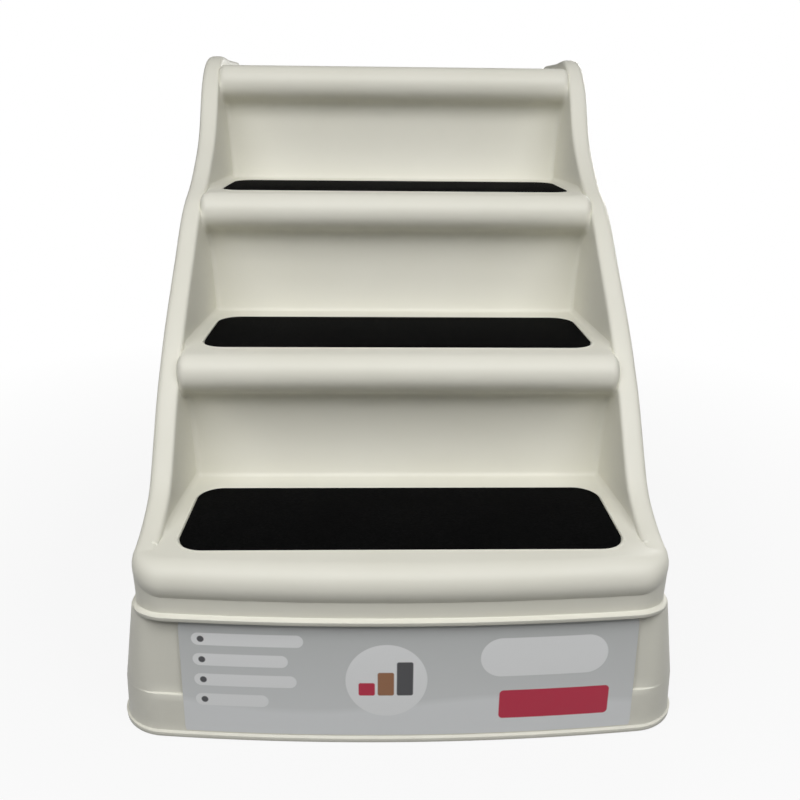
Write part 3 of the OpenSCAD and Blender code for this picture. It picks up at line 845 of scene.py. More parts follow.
@dataclass(frozen=True)
class PrintedCard:
    """Coated card with a plain layout of blocks and no lettering.

    Each block is the place of its middle across and up, half its width and
    height, the radius of its corners, all in millimetres, and its ink.
    """

    name: str = "printed_card"
    edge: float = 0.35 * MM
    field: Pair = (20 * MM, 95 * MM)
    hill_top: float = 34 * MM
    hill_rise: float = 6 * MM
    hill_turns: float = 21.0
    blocks: tuple = (
        (117.5, 33, 43, 12.5, 3.5, Ink.CRIMSON),
        (-116, 89, 42, 5.2, 5.2, Ink.PILL), (-151, 89, 2.6, 2.6, 2.6, Ink.BLACK),
        (-122, 71.5, 36, 5.2, 5.2, Ink.PILL), (-151, 71.5, 2.6, 2.6, 2.6, Ink.BLACK),
        (-119, 54, 39, 5.2, 5.2, Ink.PILL), (-151, 54, 2.6, 2.6, 2.6, Ink.BLACK),
        (-130, 36.5, 28, 5.2, 5.2, Ink.PILL), (-151, 36.5, 2.6, 2.6, 2.6, Ink.BLACK),
        (108, 74.5, 49, 16.5, 16.5, Ink.PILL), (-12, 56, 31, 31, 31, Ink.PILL),
        (-27, 48.5, 6.2, 5.5, 1.6, Ink.CRIMSON), (-12.5, 53, 6.2, 10, 1.6, Ink.BROWN),
        (2, 57.5, 6.2, 14.5, 1.6, Ink.BLACK),
    )

    def mask(self, n: Nodes, places: Sequence[Socket], sizes: Sequence[float]) -> Socket:
        """Mask of a rounded rectangle.

        Args:
            n: Node tree to write in.
            places: Place across and height.
            sizes: Middle, half size and corner radius, in millimetres.

        Returns:
            One inside the block and nought outside.
        """
        radius = sizes[4] * MM
        out_x, out_z = (
            n.math("SUBTRACT", n.math("ABSOLUTE", n.math("SUBTRACT", place, middle * MM)),
                   half * MM - radius)
            for place, middle, half in zip(places, sizes[:2], sizes[2:4]))
        far_x, far_z = (n.math("POWER", n.math("MAXIMUM", out, 0.0), 2.0)
                        for out in (out_x, out_z))
        far = n.math("SQRT", n.math("ADD", far_x, far_z))
        near = n.math("MINIMUM", n.math("MAXIMUM", out_x, out_z), 0.0)
        away = n.math("SUBTRACT", n.math("ADD", far, near), radius)
        return n.span(away, self.edge, -self.edge)

    def build(self) -> bpy.types.Material:
        """Makes the material."""
        n = Nodes(self.name)
        apart = n.add("SeparateXYZ", {0: n.place})
        x, z = apart.outputs[0], apart.outputs[2]
        colour = n.blend(n.span(z, *self.field), Ink.FOOT.value, Ink.TOP.value)
        wave = n.math("MULTIPLY", n.math("SINE", n.math("MULTIPLY", x, self.hill_turns)),
                      self.hill_rise)
        under = n.math("SUBTRACT", n.math("ADD", wave, self.hill_top), z)
        colour = n.blend(n.span(under, -3 * MM, 3 * MM, 0, 0.8), colour, Ink.HILL.value)
        for *sizes, ink in self.blocks:
            colour = n.blend(self.mask(n, (x, z), sizes), colour, ink.value)
        return n.set(Base_Color=colour, Roughness=n.gloss(n.noise(Grain(300)), 0.35, 0.05, 0.05),
                     Normal=n.bump(n.noise(Grain(45)), 0.12, 0.6 * MM),
                     Specular_IOR_Level=0.5, Coat_Weight=0.15, Coat_Roughness=0.25)


class Palette:
    """Builds each finish once and dresses the pieces with it."""

    def __init__(self) -> None:
        """Makes every material."""
        finishes = {
            Finish.CREAM: MouldedPlastic(),
            Finish.MAT: PileMat(),
            Finish.PIN: Steel("zinc_plated_pin", (0.62, 0.63, 0.65, 1), 0.34),
            Finish.RIVET: Steel("plated_rivet", (0.6, 0.6, 0.61, 1), 0.4),
            Finish.SPRING: Steel("blued_spring", (0.30, 0.32, 0.36, 1), 0.38, Grain(700, 3)),
            Finish.NYLON: PlainMoulding("natural_nylon", (0.68, 0.67, 0.60, 1), 0.5),
            Finish.BUTTON: PlainMoulding("grey_button", (0.13, 0.135, 0.14, 1), 0.52,
                                         Grain(1800, 2, 0.6), 0.12 * MM),
            Finish.RUBBER: PlainMoulding("foot_rubber", (0.018, 0.018, 0.019, 1), 0.82,
                                         Grain(900, 2, 0.6), 0.25 * MM),
            Finish.CARD: PrintedCard(),
        }
        self.materials = {slot: finish.build() for slot, finish in finishes.items()}

    def dress(self, obj: Obj, slot: Finish, body: Body | None = None,
              nodes: Sequence[str] = ()) -> None:
        """Gives a piece its finish, its body and the nodes it stands for.

        Args:
            obj: The finished piece.
            slot: Material slot it takes its finish from.
            body: Body that it rides on, or None for a node of the frame.
            nodes: Nodes of the frame that it replaces.
        """
        obj.data.materials.clear()
        obj.data.materials.append(self.materials[slot])
        if body is not None:
            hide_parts(*nodes)
            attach(obj, body.value)
        LOG.info("piece %s: %s, %d faces", obj.name, slot.value, len(obj.data.polygons))


@dataclass(frozen=True)
class ShellForm:
    """One moulding: rolled front, side rails, skirts and four treads."""

    lip: float = 1.0 * MM
    lip_bevel: float = 0.3 * MM
    bead_height: float = 4 * MM
    bead_step: float = 1.4 * MM
    bead_rows: tuple = ((0.0, -0.5), (0.15, -0.15), (0.5, 0.0), (0.85, 0.15), (1.0, 0.5))
    bead_proud: float = 1.5 * MM
    proud_side: float = 0.25
    corner_flare: float = 1.3 * MM
    band_shares: tuple = (0.04, 0.1, 0.5, 0.9, 0.96)
    front_dent: float = 2.8 * MM
    side_dent: float = 0.6 * MM
    skirt_drop: float = 28 * MM
    skirt_bends: Pair = (8 * MM, 16 * MM)
    web_drop: float = 8 * MM
    web_draft: float = 0.05
    front_leg: float = 8 * MM
    front_sink: float = 0.2 * MM
    roll_under: float = 35.0
    outer_power: float = 2.7
    inner_power: float = 4.2
    rail_end_share: float = 0.99
    rail_spread: float = 9 * MM
    base_fillet: float = 4 * MM
    side_fillet: float = 4.5 * MM
    fillet_start: Pair = (58 * MM, 74 * MM)
    fillet_end: Pair = (-15 * MM, -7 * MM)
    end_round: float = 8 * MM
    end_bite: float = 2 * MM
    end_cap: float = 7 * MM
    cap_width: float = 0.9 * MM
    front_blend: float = 12 * MM
    front_dip: float = 0.1 * MM
    web_start: Pair = (44 * MM, 66 * MM)
    tuck: float = 0.8 * MM
    tuck_start: Pair = (34 * MM, 42 * MM)
    tuck_end: Pair = (66 * MM, 78 * MM)
    row_pitch: float = 6.5 * MM
    back_overlap: float = 2 * MM
    front_web: float = 2.5 * MM
    dip_width: float = 6 * MM
    tuck_width: Pair = (3 * MM, 4 * MM)
    insets_mm: tuple = (-2.95, -2.4, -1.9, -1.3, -0.5, 0.3, 0.9, 1.6, 2.4, 3.4, 4.5, 6, 8,
                        10.5, 14, 19, 26)
    middle_columns: int = 9
    rail_shares: tuple = (
        (0.063, 0.300), (0.094, 0.310), (0.124, 0.326), (0.154, 0.348),
        (0.178, 0.384), (0.203, 0.425), (0.233, 0.473), (0.266, 0.516),
        (0.302, 0.560), (0.359, 0.620), (0.404, 0.666), (0.446, 0.711),
        (0.483, 0.741), (0.535, 0.770), (0.583, 0.808), (0.618, 0.841),
        (0.649, 0.885), (0.674, 0.935), (0.700, 0.970), (0.728, 0.992),
        (0.753, 1.000), (0.823, 0.996),
    )
    riser_shares: tuple = ((0.78, 0.04), (0.87, 0.12), (0.96, 0.24), (1.00, 0.37),
                           (0.99, 0.50), (0.94, 0.60), (0.78, 0.675))

    def rail_top(self, y: float) -> float:
        """Height of the side rail's crown."""
        rows = [(a * SIZES.length, b * SIZES.height) for a, b in self.rail_shares]
        return sum(smooth_row(rows, y + k * self.rail_spread / 2) for k in range(-2, 3)) / 5

    def corner_line(self, y: float) -> float:
        """Height of the line through the inner corners of the steps."""
        corner = SIZES.nose(1) + self.riser_shares[0][0] * SIZES.riser_depth
        return SIZES.tread_height + SIZES.slope * (y - corner)

    def skirt_edge(self, y: float) -> float:
        """Height of the side skirt's lower edge.

        Args:
            y: Place along the stairs.

        Returns:
            The height, level at the front and at the back.
        """
        line = self.corner_line(y) - self.skirt_drop
        low, high = self.skirt_bends
        return soft_min(soft_max(line, SIZES.skirt_low, low), SIZES.hip_low, high)

    def web_edge(self, y: float) -> float:
        """Height of the inner web's lower edge.

        Args:
            y: Place along the stairs.

        Returns:
            The height, always below the rail.
        """
        line = min(self.corner_line(y), SIZES.top_tread) - self.web_drop
        low = max(SIZES.tread_height - self.web_drop, line)
        return min(low, self.rail_top(y) - SIZES.rail_radius - SIZES.wall)

    def outline(self) -> list[Station]:
        """Stations all round the shell, from the middle of the front."""
        right = bowed_front(SIZES.half_width, SIZES.shell_front, SIZES.front_corner, (18, 12))
        start, end = right[-1].y, SIZES.shell_back - SIZES.back_corner
        side, corner, back = 112, 8, 12
        right += [Station(SIZES.half_width, mix(start, end, i / side), 1, 0)
                  for i in range(1, side)]
        centre = SIZES.half_width - SIZES.back_corner
        right += turned(centre, end, SIZES.back_corner,
                        [radians(mix(90, 180, i / corner)) for i in range(corner + 1)])
        right += [Station(centre * (1 - i / back), SIZES.shell_back, 0, 1)
                  for i in range(1, back + 1)]
        return right + mirrored(right)

    def section(self, station: Station) -> list[Vector]:
        """Closed cross-section of the rim at a station.

        Args:
            station: Place on the outline.

        Returns:
            Points down the inner web from the lower lip over the rail.
        """
        front, back = clamp(-station.ny), clamp(station.ny)
        y = station.y
        top, low, web = self.rail_top(y), self.skirt_edge(y), self.web_edge(y)
        if front > 0.001:
            top, low = SIZES.tread_height, SIZES.skirt_low
            web = top - self.web_drop
        if back > 0.001:
            top, low = self.rail_end_share * SIZES.height, SIZES.hip_low
            web = SIZES.top_tread - self.web_drop
        dent = mix(self.side_dent, self.front_dent, ease(0.35, 1.0, front))
        reach = mix((SIZES.rail_width - dent) / 2, SIZES.nose_radius, front)
        rise = mix(SIZES.rail_radius, SIZES.nose_radius, front)
        centre = mix((SIZES.rail_width + dent) / 2, SIZES.nose_radius, front)
        flare = self.corner_flare * ease(0.0, 0.3, front) * (1 - ease(0.6, 0.95, front))
        proud = self.bead_proud * mix(self.proud_side, 1.0, ease(0.0, 0.5, front))
        proud = (proud + flare) * (1 - back)
        turn = 90 * front
        web = min(web, top - rise - SIZES.wall)
        leg = mix(top - rise - web, self.front_leg, front)
        draft = self.web_draft * ((1 - front) * (1 - back))
        drift = (sin(radians(turn)) + draft, -cos(radians(turn)))

        def crown(angle: float, thin: float) -> Pair:
            """Point of the rail's crown, thinned by the wall for its inside."""
            a = radians(angle)
            c, s = cos(a), sin(a)
            power = 2 / mix(self.inner_power if c > 0 else self.outer_power, 2.0, front)
            return (centre + (reach - thin) * copysign(abs(c) ** power, c),
                    top - rise + (rise - thin) * copysign(abs(s) ** power, s))

        def line(thin: float) -> list[Pair]:
            """Half of the section, moved in by the wall for its inside."""
            share = thin / SIZES.wall
            out = thin - proud * (1 - share)
            points = [(mix(d - proud, SIZES.wall - d, share), low + up)
                      for d, up in ((self.lip, 0.0), (self.lip_bevel, self.lip_bevel))]
            points.append((out, low + self.lip))
            points += [(mix(out, thin + dent, a), low + self.bead_height + b * self.bead_step)
                       for a, b in self.bead_rows]
            first = 180 + self.roll_under * front
            foot, begin = points[-1], crown(first, thin)
            points += [(mix(foot[0], begin[0], k), mix(foot[1], begin[1], k))
                       for k in self.band_shares]
            points += [crown(mix(first, turn, k / 16), thin) for k in range(17)]
            d, z = points[-1]
            sink = self.front_sink * front
            points += [(d + leg * k / 4 * drift[0], z + leg * k / 4 * drift[1] - sink * k / 4)
                       for k in range(1, 5)]
            return points

        lean = back * tan(SIZES.leg_tilt)
        ring = line(0.0) + line(SIZES.wall)[::-1]
        return [station.inward(d - lean * (top - z), z) for d, z in ring]

    def rim(self) -> Obj:
        """Rail, rolled front and skirts as one closed band."""
        return Bench.sweep("stair_shell_visual", [self.section(s) for s in self.outline()])

    def riser(self, step: int) -> list[Pair]:
        """Riser and nosing in front of a tread.

        Args:
            step: The tread above the riser, with the first as nought.

        Returns:
            Points of y and z, from the tread below upwards.
        """
        nose, low, high = SIZES.nose(step), SIZES.tread(step - 1), SIZES.tread(step)
        foot = nose + self.riser_shares[0][0] * SIZES.riser_depth
        r, big = self.base_fillet, SIZES.nose_radius
        fillet = arc((foot - r, low + r), r, -90, -12, 6)
        roll = arc((nose + big, high - big), big, 250, 90, 18)
        body = [(nose + a * SIZES.riser_depth, low + b * SIZES.rise)
                for a, b in self.riser_shares[1:]]
        return fillet[:-1] + smooth_path([fillet[-1]] + body + [roll[0]], 4)[:-1] + roll

    def profile(self) -> list[Pair]:
        """Upper line of the steps, from the first tread to the back rail."""
        line = []
        start = SIZES.shell_front + SIZES.nose_radius
        for step in range(1, SIZES.steps):
            riser = self.riser(step)
            end = riser[0][0]
            parts = max(6, round((end - start) / self.row_pitch))
            line += [(mix(start, end, k / parts), SIZES.tread(step - 1)) for k in range(parts)]
            line += riser[:-1]
            start = riser[-1][0]
        end = SIZES.shell_back - SIZES.rail_width + self.back_overlap
        return line + [(mix(start, end, k / 20), SIZES.top_tread) for k in range(21)]

    def edge_shift(self, y: float, z: float, inside: float) -> float:
        """How far the sheet swells or falls back beside the inner web.

        Args:
            y: Place along the stairs.
            z: Height.
            inside: Distance inwards from the web.

        Returns:
            Shift along the sheet's outward normal.
        """
        over = z - self.rail_top(y)
        ball, hold = 0.0, ease(*self.fillet_start, y)
        if y > SIZES.nose(1) - MM:
            ball = ease(self.fillet_end[1], 0.0, over)
            hold *= 1 - ease(*self.fillet_end, over)
        r, big = self.side_fillet, self.end_round
        near = r - clamp(inside / r) * r
        swell = (r - sqrt(max(r * r - near * near, 0.0))) * hold
        close = big - clamp((inside + self.end_bite) / big) * big
        fall = big - sqrt(max(big * big - close * close, 0.0))
        fall += self.end_cap * clamp((-self.end_bite - inside) / self.cap_width)
        return swell - fall * ball

    def front_edge(self, x: float, corner_y: float) -> float:
        """Front edge of the first tread, on the crest of the roll.

        Args:
            x: Place across.
            corner_y: Where the round front corner meets the side.

        Returns:
            Place of the edge, from the front of the base.
        """
        corner_x = SIZES.half_width - SIZES.front_corner
        if abs(x) <= corner_x:
            return SIZES.shell_front + SIZES.nose_radius + SIZES.bow(x)
        share = clamp((abs(x) - corner_x) / (SIZES.front_corner - SIZES.rail_width / 2))
        depth = SIZES.front_corner - SIZES.nose_radius
        return corner_y - depth * sqrt(1 - share * share)

    def tread_sheet(self) -> Obj:
        """Treads, risers and nosings as one walled sheet."""
        line = self.profile()
        normals = left_normals(line)
        insets, middle = self.insets_mm, self.middle_columns
        count = 2 * (len(insets) + middle) - 1
        corner_y = bowed_front(SIZES.half_width, SIZES.shell_front, SIZES.front_corner,
                               (2, 2))[-1].y
        base = SIZES.shell_front + SIZES.nose_radius
        span = SIZES.bow(SIZES.half_width) + SIZES.front_corner + self.front_blend

        def place(i: int, j: int) -> Vector:
            """Point of the sheet for a column and a row of the profile."""
            y, z = line[j]
            hand = 1 if i * 2 >= count else -1
            column = count - i if hand > 0 else i
            over = max(self.rail_top(y) - SIZES.rail_radius - z, 0.0)
            web = SIZES.half_width - SIZES.rail_width - self.web_draft * over
            web += (SIZES.rail_width / 2 - self.front_web) * (1 - ease(*self.web_start, y))
            if column < len(insets):
                inside = insets[column] * MM
            else:
                share = (column - len(insets) + 1) / (middle + 0.5)
                inside = mix(insets[-1] * MM, web, share)
            x = hand * (web - inside)
            shift = self.edge_shift(y, z, inside)
            start = self.front_edge(x, corner_y)
            if y < start + self.front_blend:
                y = max(y, mix(start, base + span, clamp((y - base) / span)))
                z -= self.front_dip * (1 - ease(start, start + self.dip_width, y))
            tuck = ease(*self.tuck_start, y) * (1 - ease(*self.tuck_end, y))
            reach, width = self.tuck_width
            z -= self.tuck * tuck * (1 - clamp((inside + reach) / width))
            ny, nz = normals[j]
            return Vector((x, FRONT_Y + y + shift * ny, z + shift * nz))

        obj = Bench.grid("tread_sheet", count, len(line) - 1, place)
        with Bench.editing(obj):
            bpy.ops.mesh.normals_make_consistent(inside=False)
        if sum(face.normal.z * face.area for face in obj.data.polygons) < 0:
            obj.data.flip_normals()
        return Bench.apply(obj, "SOLIDIFY", thickness=SIZES.wall, offset=-1)


@dataclass(frozen=True)
class MatForm:
    """Non-slip mats and the shallow recesses that hold them."""

    half_width: float = 170 * MM
    depth: float = 106 * MM
    radius: float = 20 * MM
    thickness: float = 1.6 * MM
    edge: float = 0.6 * MM
    recess: float = 1.0 * MM
    recess_over: float = 5 * MM
    ridge_sink: float = 0.1 * MM
    behind: float = 35 * MM
    gap: float = 1.0 * MM
    ridge: Pair = (1.1 * MM, 0.55 * MM)

    def outline(self, step: int, out: float, parts: int) -> list[Pair]:
        """Outline of the mat on a step, moved outwards."""
        return rounded_outline(self.half_width + out, SIZES.nose(step) + self.behind - out,
                               self.depth + 2 * out, self.radius + out, parts)

    def recess_cutter(self, step: int) -> Obj:
        """Solid that cuts the recess of one tread."""
        level = SIZES.tread(step)
        return Bench.slab("recess_cutter", self.outline(step, self.gap, 10),
                          (level - self.recess, level + self.recess_over))

    def rim(self, step: int) -> Obj:
        """Low rounded ridge round a recess.

        Args:
            step: The recess's tread, with the first as nought.

        Returns:
            The ridge as a closed ring.
        """
        width, height = self.ridge
        parts, level = 8, SIZES.tread(step) - self.ridge_sink
        line = self.outline(step, self.gap + width, 12)
        turns = [tau * i / parts for i in range(parts)]
        rings = [[Vector((x - nx * width * cos(a), FRONT_Y + y - ny * width * cos(a),
                          level + height * sin(a))) for a in turns]
                 for (x, y), (nx, ny) in zip(line, left_normals(line, closed=True))]
        return Bench.sweep("mat_ridge", rings)

    def mat(self, step: int) -> Obj:
        """One mat with a softly rounded upper edge.

        Args:
            step: The mat's tread, with the first as nought.

        Returns:
            The mat, lying in its recess.
        """
        floor = SIZES.tread(step) - self.recess
        obj = Bench.slab("mat_%d" % (step + 1), self.outline(step, 0.0, 14),
                         (floor, floor + self.thickness))
        Bench.round_ends(obj, self.edge, both=False)
        return Bench.smooth(obj, 50)


@dataclass(frozen=True)
class Fittings:
    """Places of the hinges and locks, and the sizes of their lugs."""

    leg_axis: Pair = (595.855 * MM, 455 * MM)
    rear_lock: Pair = (595.799 * MM, 392.837 * MM)
    front_axis: Pair = (50 * MM, 116.5 * MM)
    front_lock: Pair = (37.979 * MM, 104.479 * MM)
    front_rivet: Pair = (28.786 * MM, 67.608 * MM)
    leg_face: float = 192.5 * MM
    front_face: float = 149.5 * MM
    ear: float = 3.5 * MM
    lug_face: float = -5.0 * MM
    lug: float = 6 * MM
    lug_radius: float = 10 * MM
    lug_edge: float = 0.8 * MM
    pin_boss: float = 7.4 * MM
    boss_edge: float = 0.4 * MM
    guide_radius: float = 9 * MM
    guide_edge: float = 0.5 * MM
    stack: float = 10 * MM
    rest_gap: float = 0.3 * MM
    guide_flange: float = 1.2 * MM
    button_bore: float = 5.85 * MM
    button_chamber: float = 7 * MM
    button_lip: float = 1.5 * MM
    stud_bore: float = 4.2 * MM
    pin_bore: float = 4.05 * MM

    def rear(self, a: float, b: float) -> Pair:
        """Stretch across on the right, counted outwards from the leg."""
        return (self.leg_face + a, self.leg_face + b)

    def front(self, a: float, b: float) -> Pair:
        """Stretch across on the right, counted inwards from the base's ear."""
        return (self.front_face - b, self.front_face - a)

    def carrier(self, name: str, at: Pair, x: Pair, top: float) -> Obj:
        """Lug with a round end that hangs from the shell.

        Args:
            name: Its name.
            at: Middle of its round end, y and z.
            x: Where it starts and ends across.
            top: Height of its top.

        Returns:
            The lug.
        """
        r = self.lug_radius
        outline = arc(at, r, 180, 360, 20) + [(at[0] + r, top), (at[0] - r, top)]
        return Bench.round_edges(Bench.prism(name, outline, x), self.lug_edge)

    def ring(self, name: str, at: Pair, outer: float, inner: float, x: Pair) -> Obj:
        """Hollow boss with rounded rims, spun round its axis.

        Args:
            name: Its name.
            at: Place of its axis, y and z.
            outer: Outer radius.
            inner: Inner radius.
            x: Where it starts and ends across.

        Returns:
            The boss.
        """
        r, sides = self.guide_edge, 48
        low, high = x
        section = ((inner, low), (outer - r, low), (outer, low + r),
                   (outer, high - r), (outer - r, high), (inner, high))
        turns = [tau * j / sides for j in range(sides)]
        return Bench.sweep(name, [
            [Vector((across, FRONT_Y + at[0] + radius * cos(a),
                     at[1] + radius * sin(a))) for radius, across in section]
            for a in turns])

    def lugs(self) -> list[Obj]:
        """Lugs and bosses of the hinges and locks at the right."""
        half = SIZES.wall / 2
        lug = (self.lug_face - self.lug, self.lug_face)
        boss, guide, end = self.rest_gap, self.rest_gap + self.guide_flange, self.stack
        high, low = SIZES.top_tread - half, SIZES.tread_height - half
        return [
            self.carrier("rear_lug", self.leg_axis, self.rear(*lug), high),
            Bench.rod("rear_pin_boss", self.leg_axis, self.pin_boss,
                      self.rear(boss, end - half), self.boss_edge),
            self.ring("rear_button_boss", self.rear_lock, self.guide_radius,
                      self.button_chamber, self.rear(guide, end - half)),
            self.carrier("front_lug", self.front_axis, self.front(*lug), low),
            self.carrier("front_plate", self.front_axis, self.front(end - SIZES.wall, end), low),
            Bench.rod("front_pin_boss", self.front_axis, self.pin_boss,
                      self.front(boss, end), self.boss_edge),
            self.ring("front_button_boss", self.front_lock, self.guide_radius,
                      self.button_chamber, self.front(guide, end)),
            self.ring("front_button_lip", self.front_lock, self.button_chamber + MM,
                      self.button_bore, self.front(end - self.button_lip, end - 0.1 * MM)),
        ]


FIT = Fittings()


@dataclass(frozen=True)
class BaseForm:
    """Bowed front base with a foot flange, a ledge and side cheeks."""

    half_width: float = 223 * MM
    corner: float = 40 * MM
    low: float = 1.5 * MM
    top: float = 105.2 * MM
    flange_out: float = 3 * MM
    flange_height: float = 4 * MM
    lean: float = 12 * MM
    side_foot: float = 1.5 * MM
    side_ledge: float = 4 * MM
    side_draw: float = 0.9 * MM
    front_share: float = 0.7
    ledge: float = 38 * MM
    ledge_depth: float = 3.2 * MM
    ledge_x_share: float = 0.93
    ledge_fade: float = 22 * MM
    cheek: float = 85 * MM
    foot_mm: tuple = ((0.8, 0), (0.25, 0.25), (0, 0.8))
    flange_mm: tuple = ((0, -1.2), (0.35, -0.35), (1.2, 0))
    root_mm: tuple = ((-1.6, 0.15), (-0.5, 0.7), (0, 2.2))
    ledge_rows: tuple = ((0, 0, -0.5), (0, 0.15, 0.1), (2, 0.8, 0.7), (2, 1, 2))
    top_mm: tuple = ((0, -0.8), (0.3, -0.2), (0.8, 0))
    ear_under: float = 14.1 * MM
    ear_edge: float = 0.7 * MM
    bite: float = 1.5 * MM
    rib: float = 2.4 * MM
    rib_depth: float = 25 * MM
    pad: Pair = (190.849 * MM, 25.383 * MM)
    boss: Pair = (11 * MM, 12 * MM)

    def inset(self, z: float) -> float:
        """How far the wall stands inside the foot line at a height."""
        return self.flange_out + self.lean * (z - self.low) / (self.top - self.low)

    def side_inset(self, z: float) -> float:
        """How far the side walls stand inside the foot line.

        Args:
            z: Height.

        Returns:
            Distance inwards.
        """
        if z > self.ledge:
            return mix(self.side_ledge, self.inset(self.top) + self.side_draw,
                       (z - self.ledge) / (self.top - self.ledge))
        return mix(self.side_foot, self.side_ledge, (z - self.low) / (self.ledge - self.low))

    def stations(self) -> list[Station]:
        """Stations from the left cheek round the front to the right."""
        right = bowed_front(self.half_width, 0.0, self.corner, (24, 16))
        start = right[-1].y
        right += [Station(self.half_width, mix(start, self.cheek, i / 8), 1, 0)
                  for i in range(1, 9)]
        return mirrored(right) + right

    def outer_line(self, field: float) -> list[Pair]:
        """Outside of the wall from the foot up to the top.

        Args:
            field: How deep the wall lies back above the ledge.

        Returns:
            Depths inside the foot line, each with its height.
        """
        foot, above = self.low + self.flange_height, self.ledge + 2 * MM
        root, top = self.inset(foot + 2 * MM), self.inset(self.top) + field
        root_top, edge = self.root_mm[-1][1] * MM, self.top_mm[-1][0] * MM
        line = [(d * MM, self.low + up * MM) for d, up in self.foot_mm]
        line += [(d * MM, foot + up * MM) for d, up in self.flange_mm]
        line += [(root + d * MM, foot + up * MM) for d, up in self.root_mm]
        line += [(self.inset(z), z)
                 for z in (mix(foot + root_top, self.ledge, k / 5) for k in range(1, 5))]
        line += [(self.inset(self.ledge + over * MM) + share * field, self.ledge + up * MM)
                 for over, share, up in self.ledge_rows]
        line += [(self.inset(z) + field, z)
                 for z in (mix(above, self.top - edge, k / 7) for k in range(1, 7))]
        return line + [(top + d * MM, self.top + up * MM) for d, up in self.top_mm]

    def section(self, station: Station) -> list[Vector]:
        """Closed cross-section of the wall at a station.

        Args:
            station: Place on the foot line.

        Returns:
            Points up the outside and down the inside.
        """
        reach = self.ledge_x_share * self.half_width - abs(station.x)
        field = self.ledge_depth * ease(0.0, self.ledge_fade, reach)
        foot = self.low + self.flange_height
        outer = self.outer_line(field)
        inner = []
        for _, z in outer:
            if z < foot + 1.9 * MM:
                inner.append((self.flange_out + SIZES.wall - 0.4 * MM, z))
                continue
            deep = field if z > self.ledge else field * clamp((z - foot) / self.ledge)
            round_top = 0.5 * MM if z > self.top - 0.3 * MM else 0
            inner.append((self.inset(z) + SIZES.wall + deep - round_top, z))
        points = []
        for d, z in outer + inner[::-1]:
            point = station.inward(d, z)
            point.y -= (1 - self.front_share) * d
            beside = ease(0.0, self.side_foot, d)
            point.x += beside * (self.inset(z) - self.side_inset(z)) * station.nx
            points.append(point)
        return points

    def inner_face(self, x: float, z: float) -> float:
        """Inner face of the front wall at a place."""
        return SIZES.bow(x) + self.front_share * self.inset(z) + SIZES.wall

    def ear(self) -> Obj:
        """Right ear that turns on the hinge and carries the lock spring."""
        x = (FIT.front_face, FIT.front_face + FIT.ear)
        low, top = FIT.front_rivet[1] - self.ear_under, self.top - SIZES.wall
        outline = [(self.inner_face(x[0], low) - self.bite, low),
                   (FIT.front_lock[0] + 5 * MM, low)]
        outline += arc(FIT.front_axis, FIT.lug_radius, -45, 135, 18)
        outline += [(self.inner_face(x[0], top) - self.bite, top)]
        obj = Bench.round_edges(Bench.prism("base_ear", outline, x), self.ear_edge)
        for at, radius in ((FIT.front_axis, FIT.pin_bore), (FIT.front_lock, FIT.stud_bore)):
            Bench.bore(obj, at, radius, (x[0] - FIT.ear, x[1] + FIT.ear), (Side.RIGHT,))
        return obj

    def brace(self, x: float) -> Obj:
        """Upright rib behind the front wall.

        Args:
            x: Its place across.

        Returns:
            The rib.
        """
        foot, high = self.low + self.flange_height, self.top - 9 * MM
        face = self.inner_face(x, self.top)
        outline = [(self.inner_face(x, self.low) - self.bite, foot), (self.rib_depth, foot),
                   (self.rib_depth, self.ledge), (face, high), (face - self.bite, high)]
        return Bench.prism("base_brace", outline, (x - self.rib / 2, x + self.rib / 2))

    def build(self) -> Obj:
        """Wall, ears, ribs and foot bosses as one piece."""
        rings = [self.section(station) for station in self.stations()]
        ear = self.ear()
        parts = [Bench.sweep("front_base_visual", rings, closed=False), ear, Bench.twin(ear)]
        parts += [self.brace(k * self.half_width / 2) for k in (-1, 0, 1)]
        radius, height = self.boss
        for side in Side:
            boss = Bench.add("base_boss", bpy.ops.mesh.primitive_cylinder_add,
                             vertices=40, radius=radius, depth=height)
            boss.data.transform(Matrix.Translation((
                side.value * self.pad[0], FRONT_Y + self.pad[1], self.low + height / 2)))
            parts.append(boss)
        return Bench.smooth(Bench.join("front_base_visual", parts), 30)


@dataclass(frozen=True)
class CardForm:
    """Thin printed card that follows the bowed front."""

    half_width: float = 174.5 * MM
    shift: float = 6 * MM
    low: float = 7.5 * MM
    top: float = 102.2 * MM
    thickness: float = 0.6 * MM
    gap: float = 0.3 * MM
    float_out: float = 0.1 * MM
    corner: float = 0.8 * MM
    wave: float = 0.075 * MM
    wave_turns: float = 9.0

    def build(self, base: BaseForm) -> Obj:
        """Bends the card over the wall.

        Args:
            base: Form of the wall behind it.

        Returns:
            The card, with small round corners.
        """
        across, along = 72, 22

        def place(i: int, j: int) -> Vector:
            """Point of the card for a column and a row."""
            z = mix(self.low, self.top, j / along)
            near = max(self.corner - min(z - self.low, self.top - z), 0.0)
            cut = self.corner - sqrt(max(self.corner**2 - near**2, 0.0))
            x = self.shift + (self.half_width - cut) * (2 * i / across - 1)
            wave = self.wave * sin(self.wave_turns * x / self.half_width) * (j / along) ** 2
            depth = base.inset(z) - self.gap - self.thickness
            a = asin(x / SIZES.bow_radius)
            y = SIZES.bow(x) + depth * cos(a) * base.front_share
            return Vector((x - depth * sin(a), FRONT_Y + y + self.float_out + wave, z))

        obj = Bench.grid("front_card_visual", across, along, place)
        if obj.data.polygons[0].normal.y > 0:
            obj.data.flip_normals()
        Bench.apply(obj, "SOLIDIFY", thickness=self.thickness - self.float_out, offset=-1)
        return Bench.smooth(obj, 40)


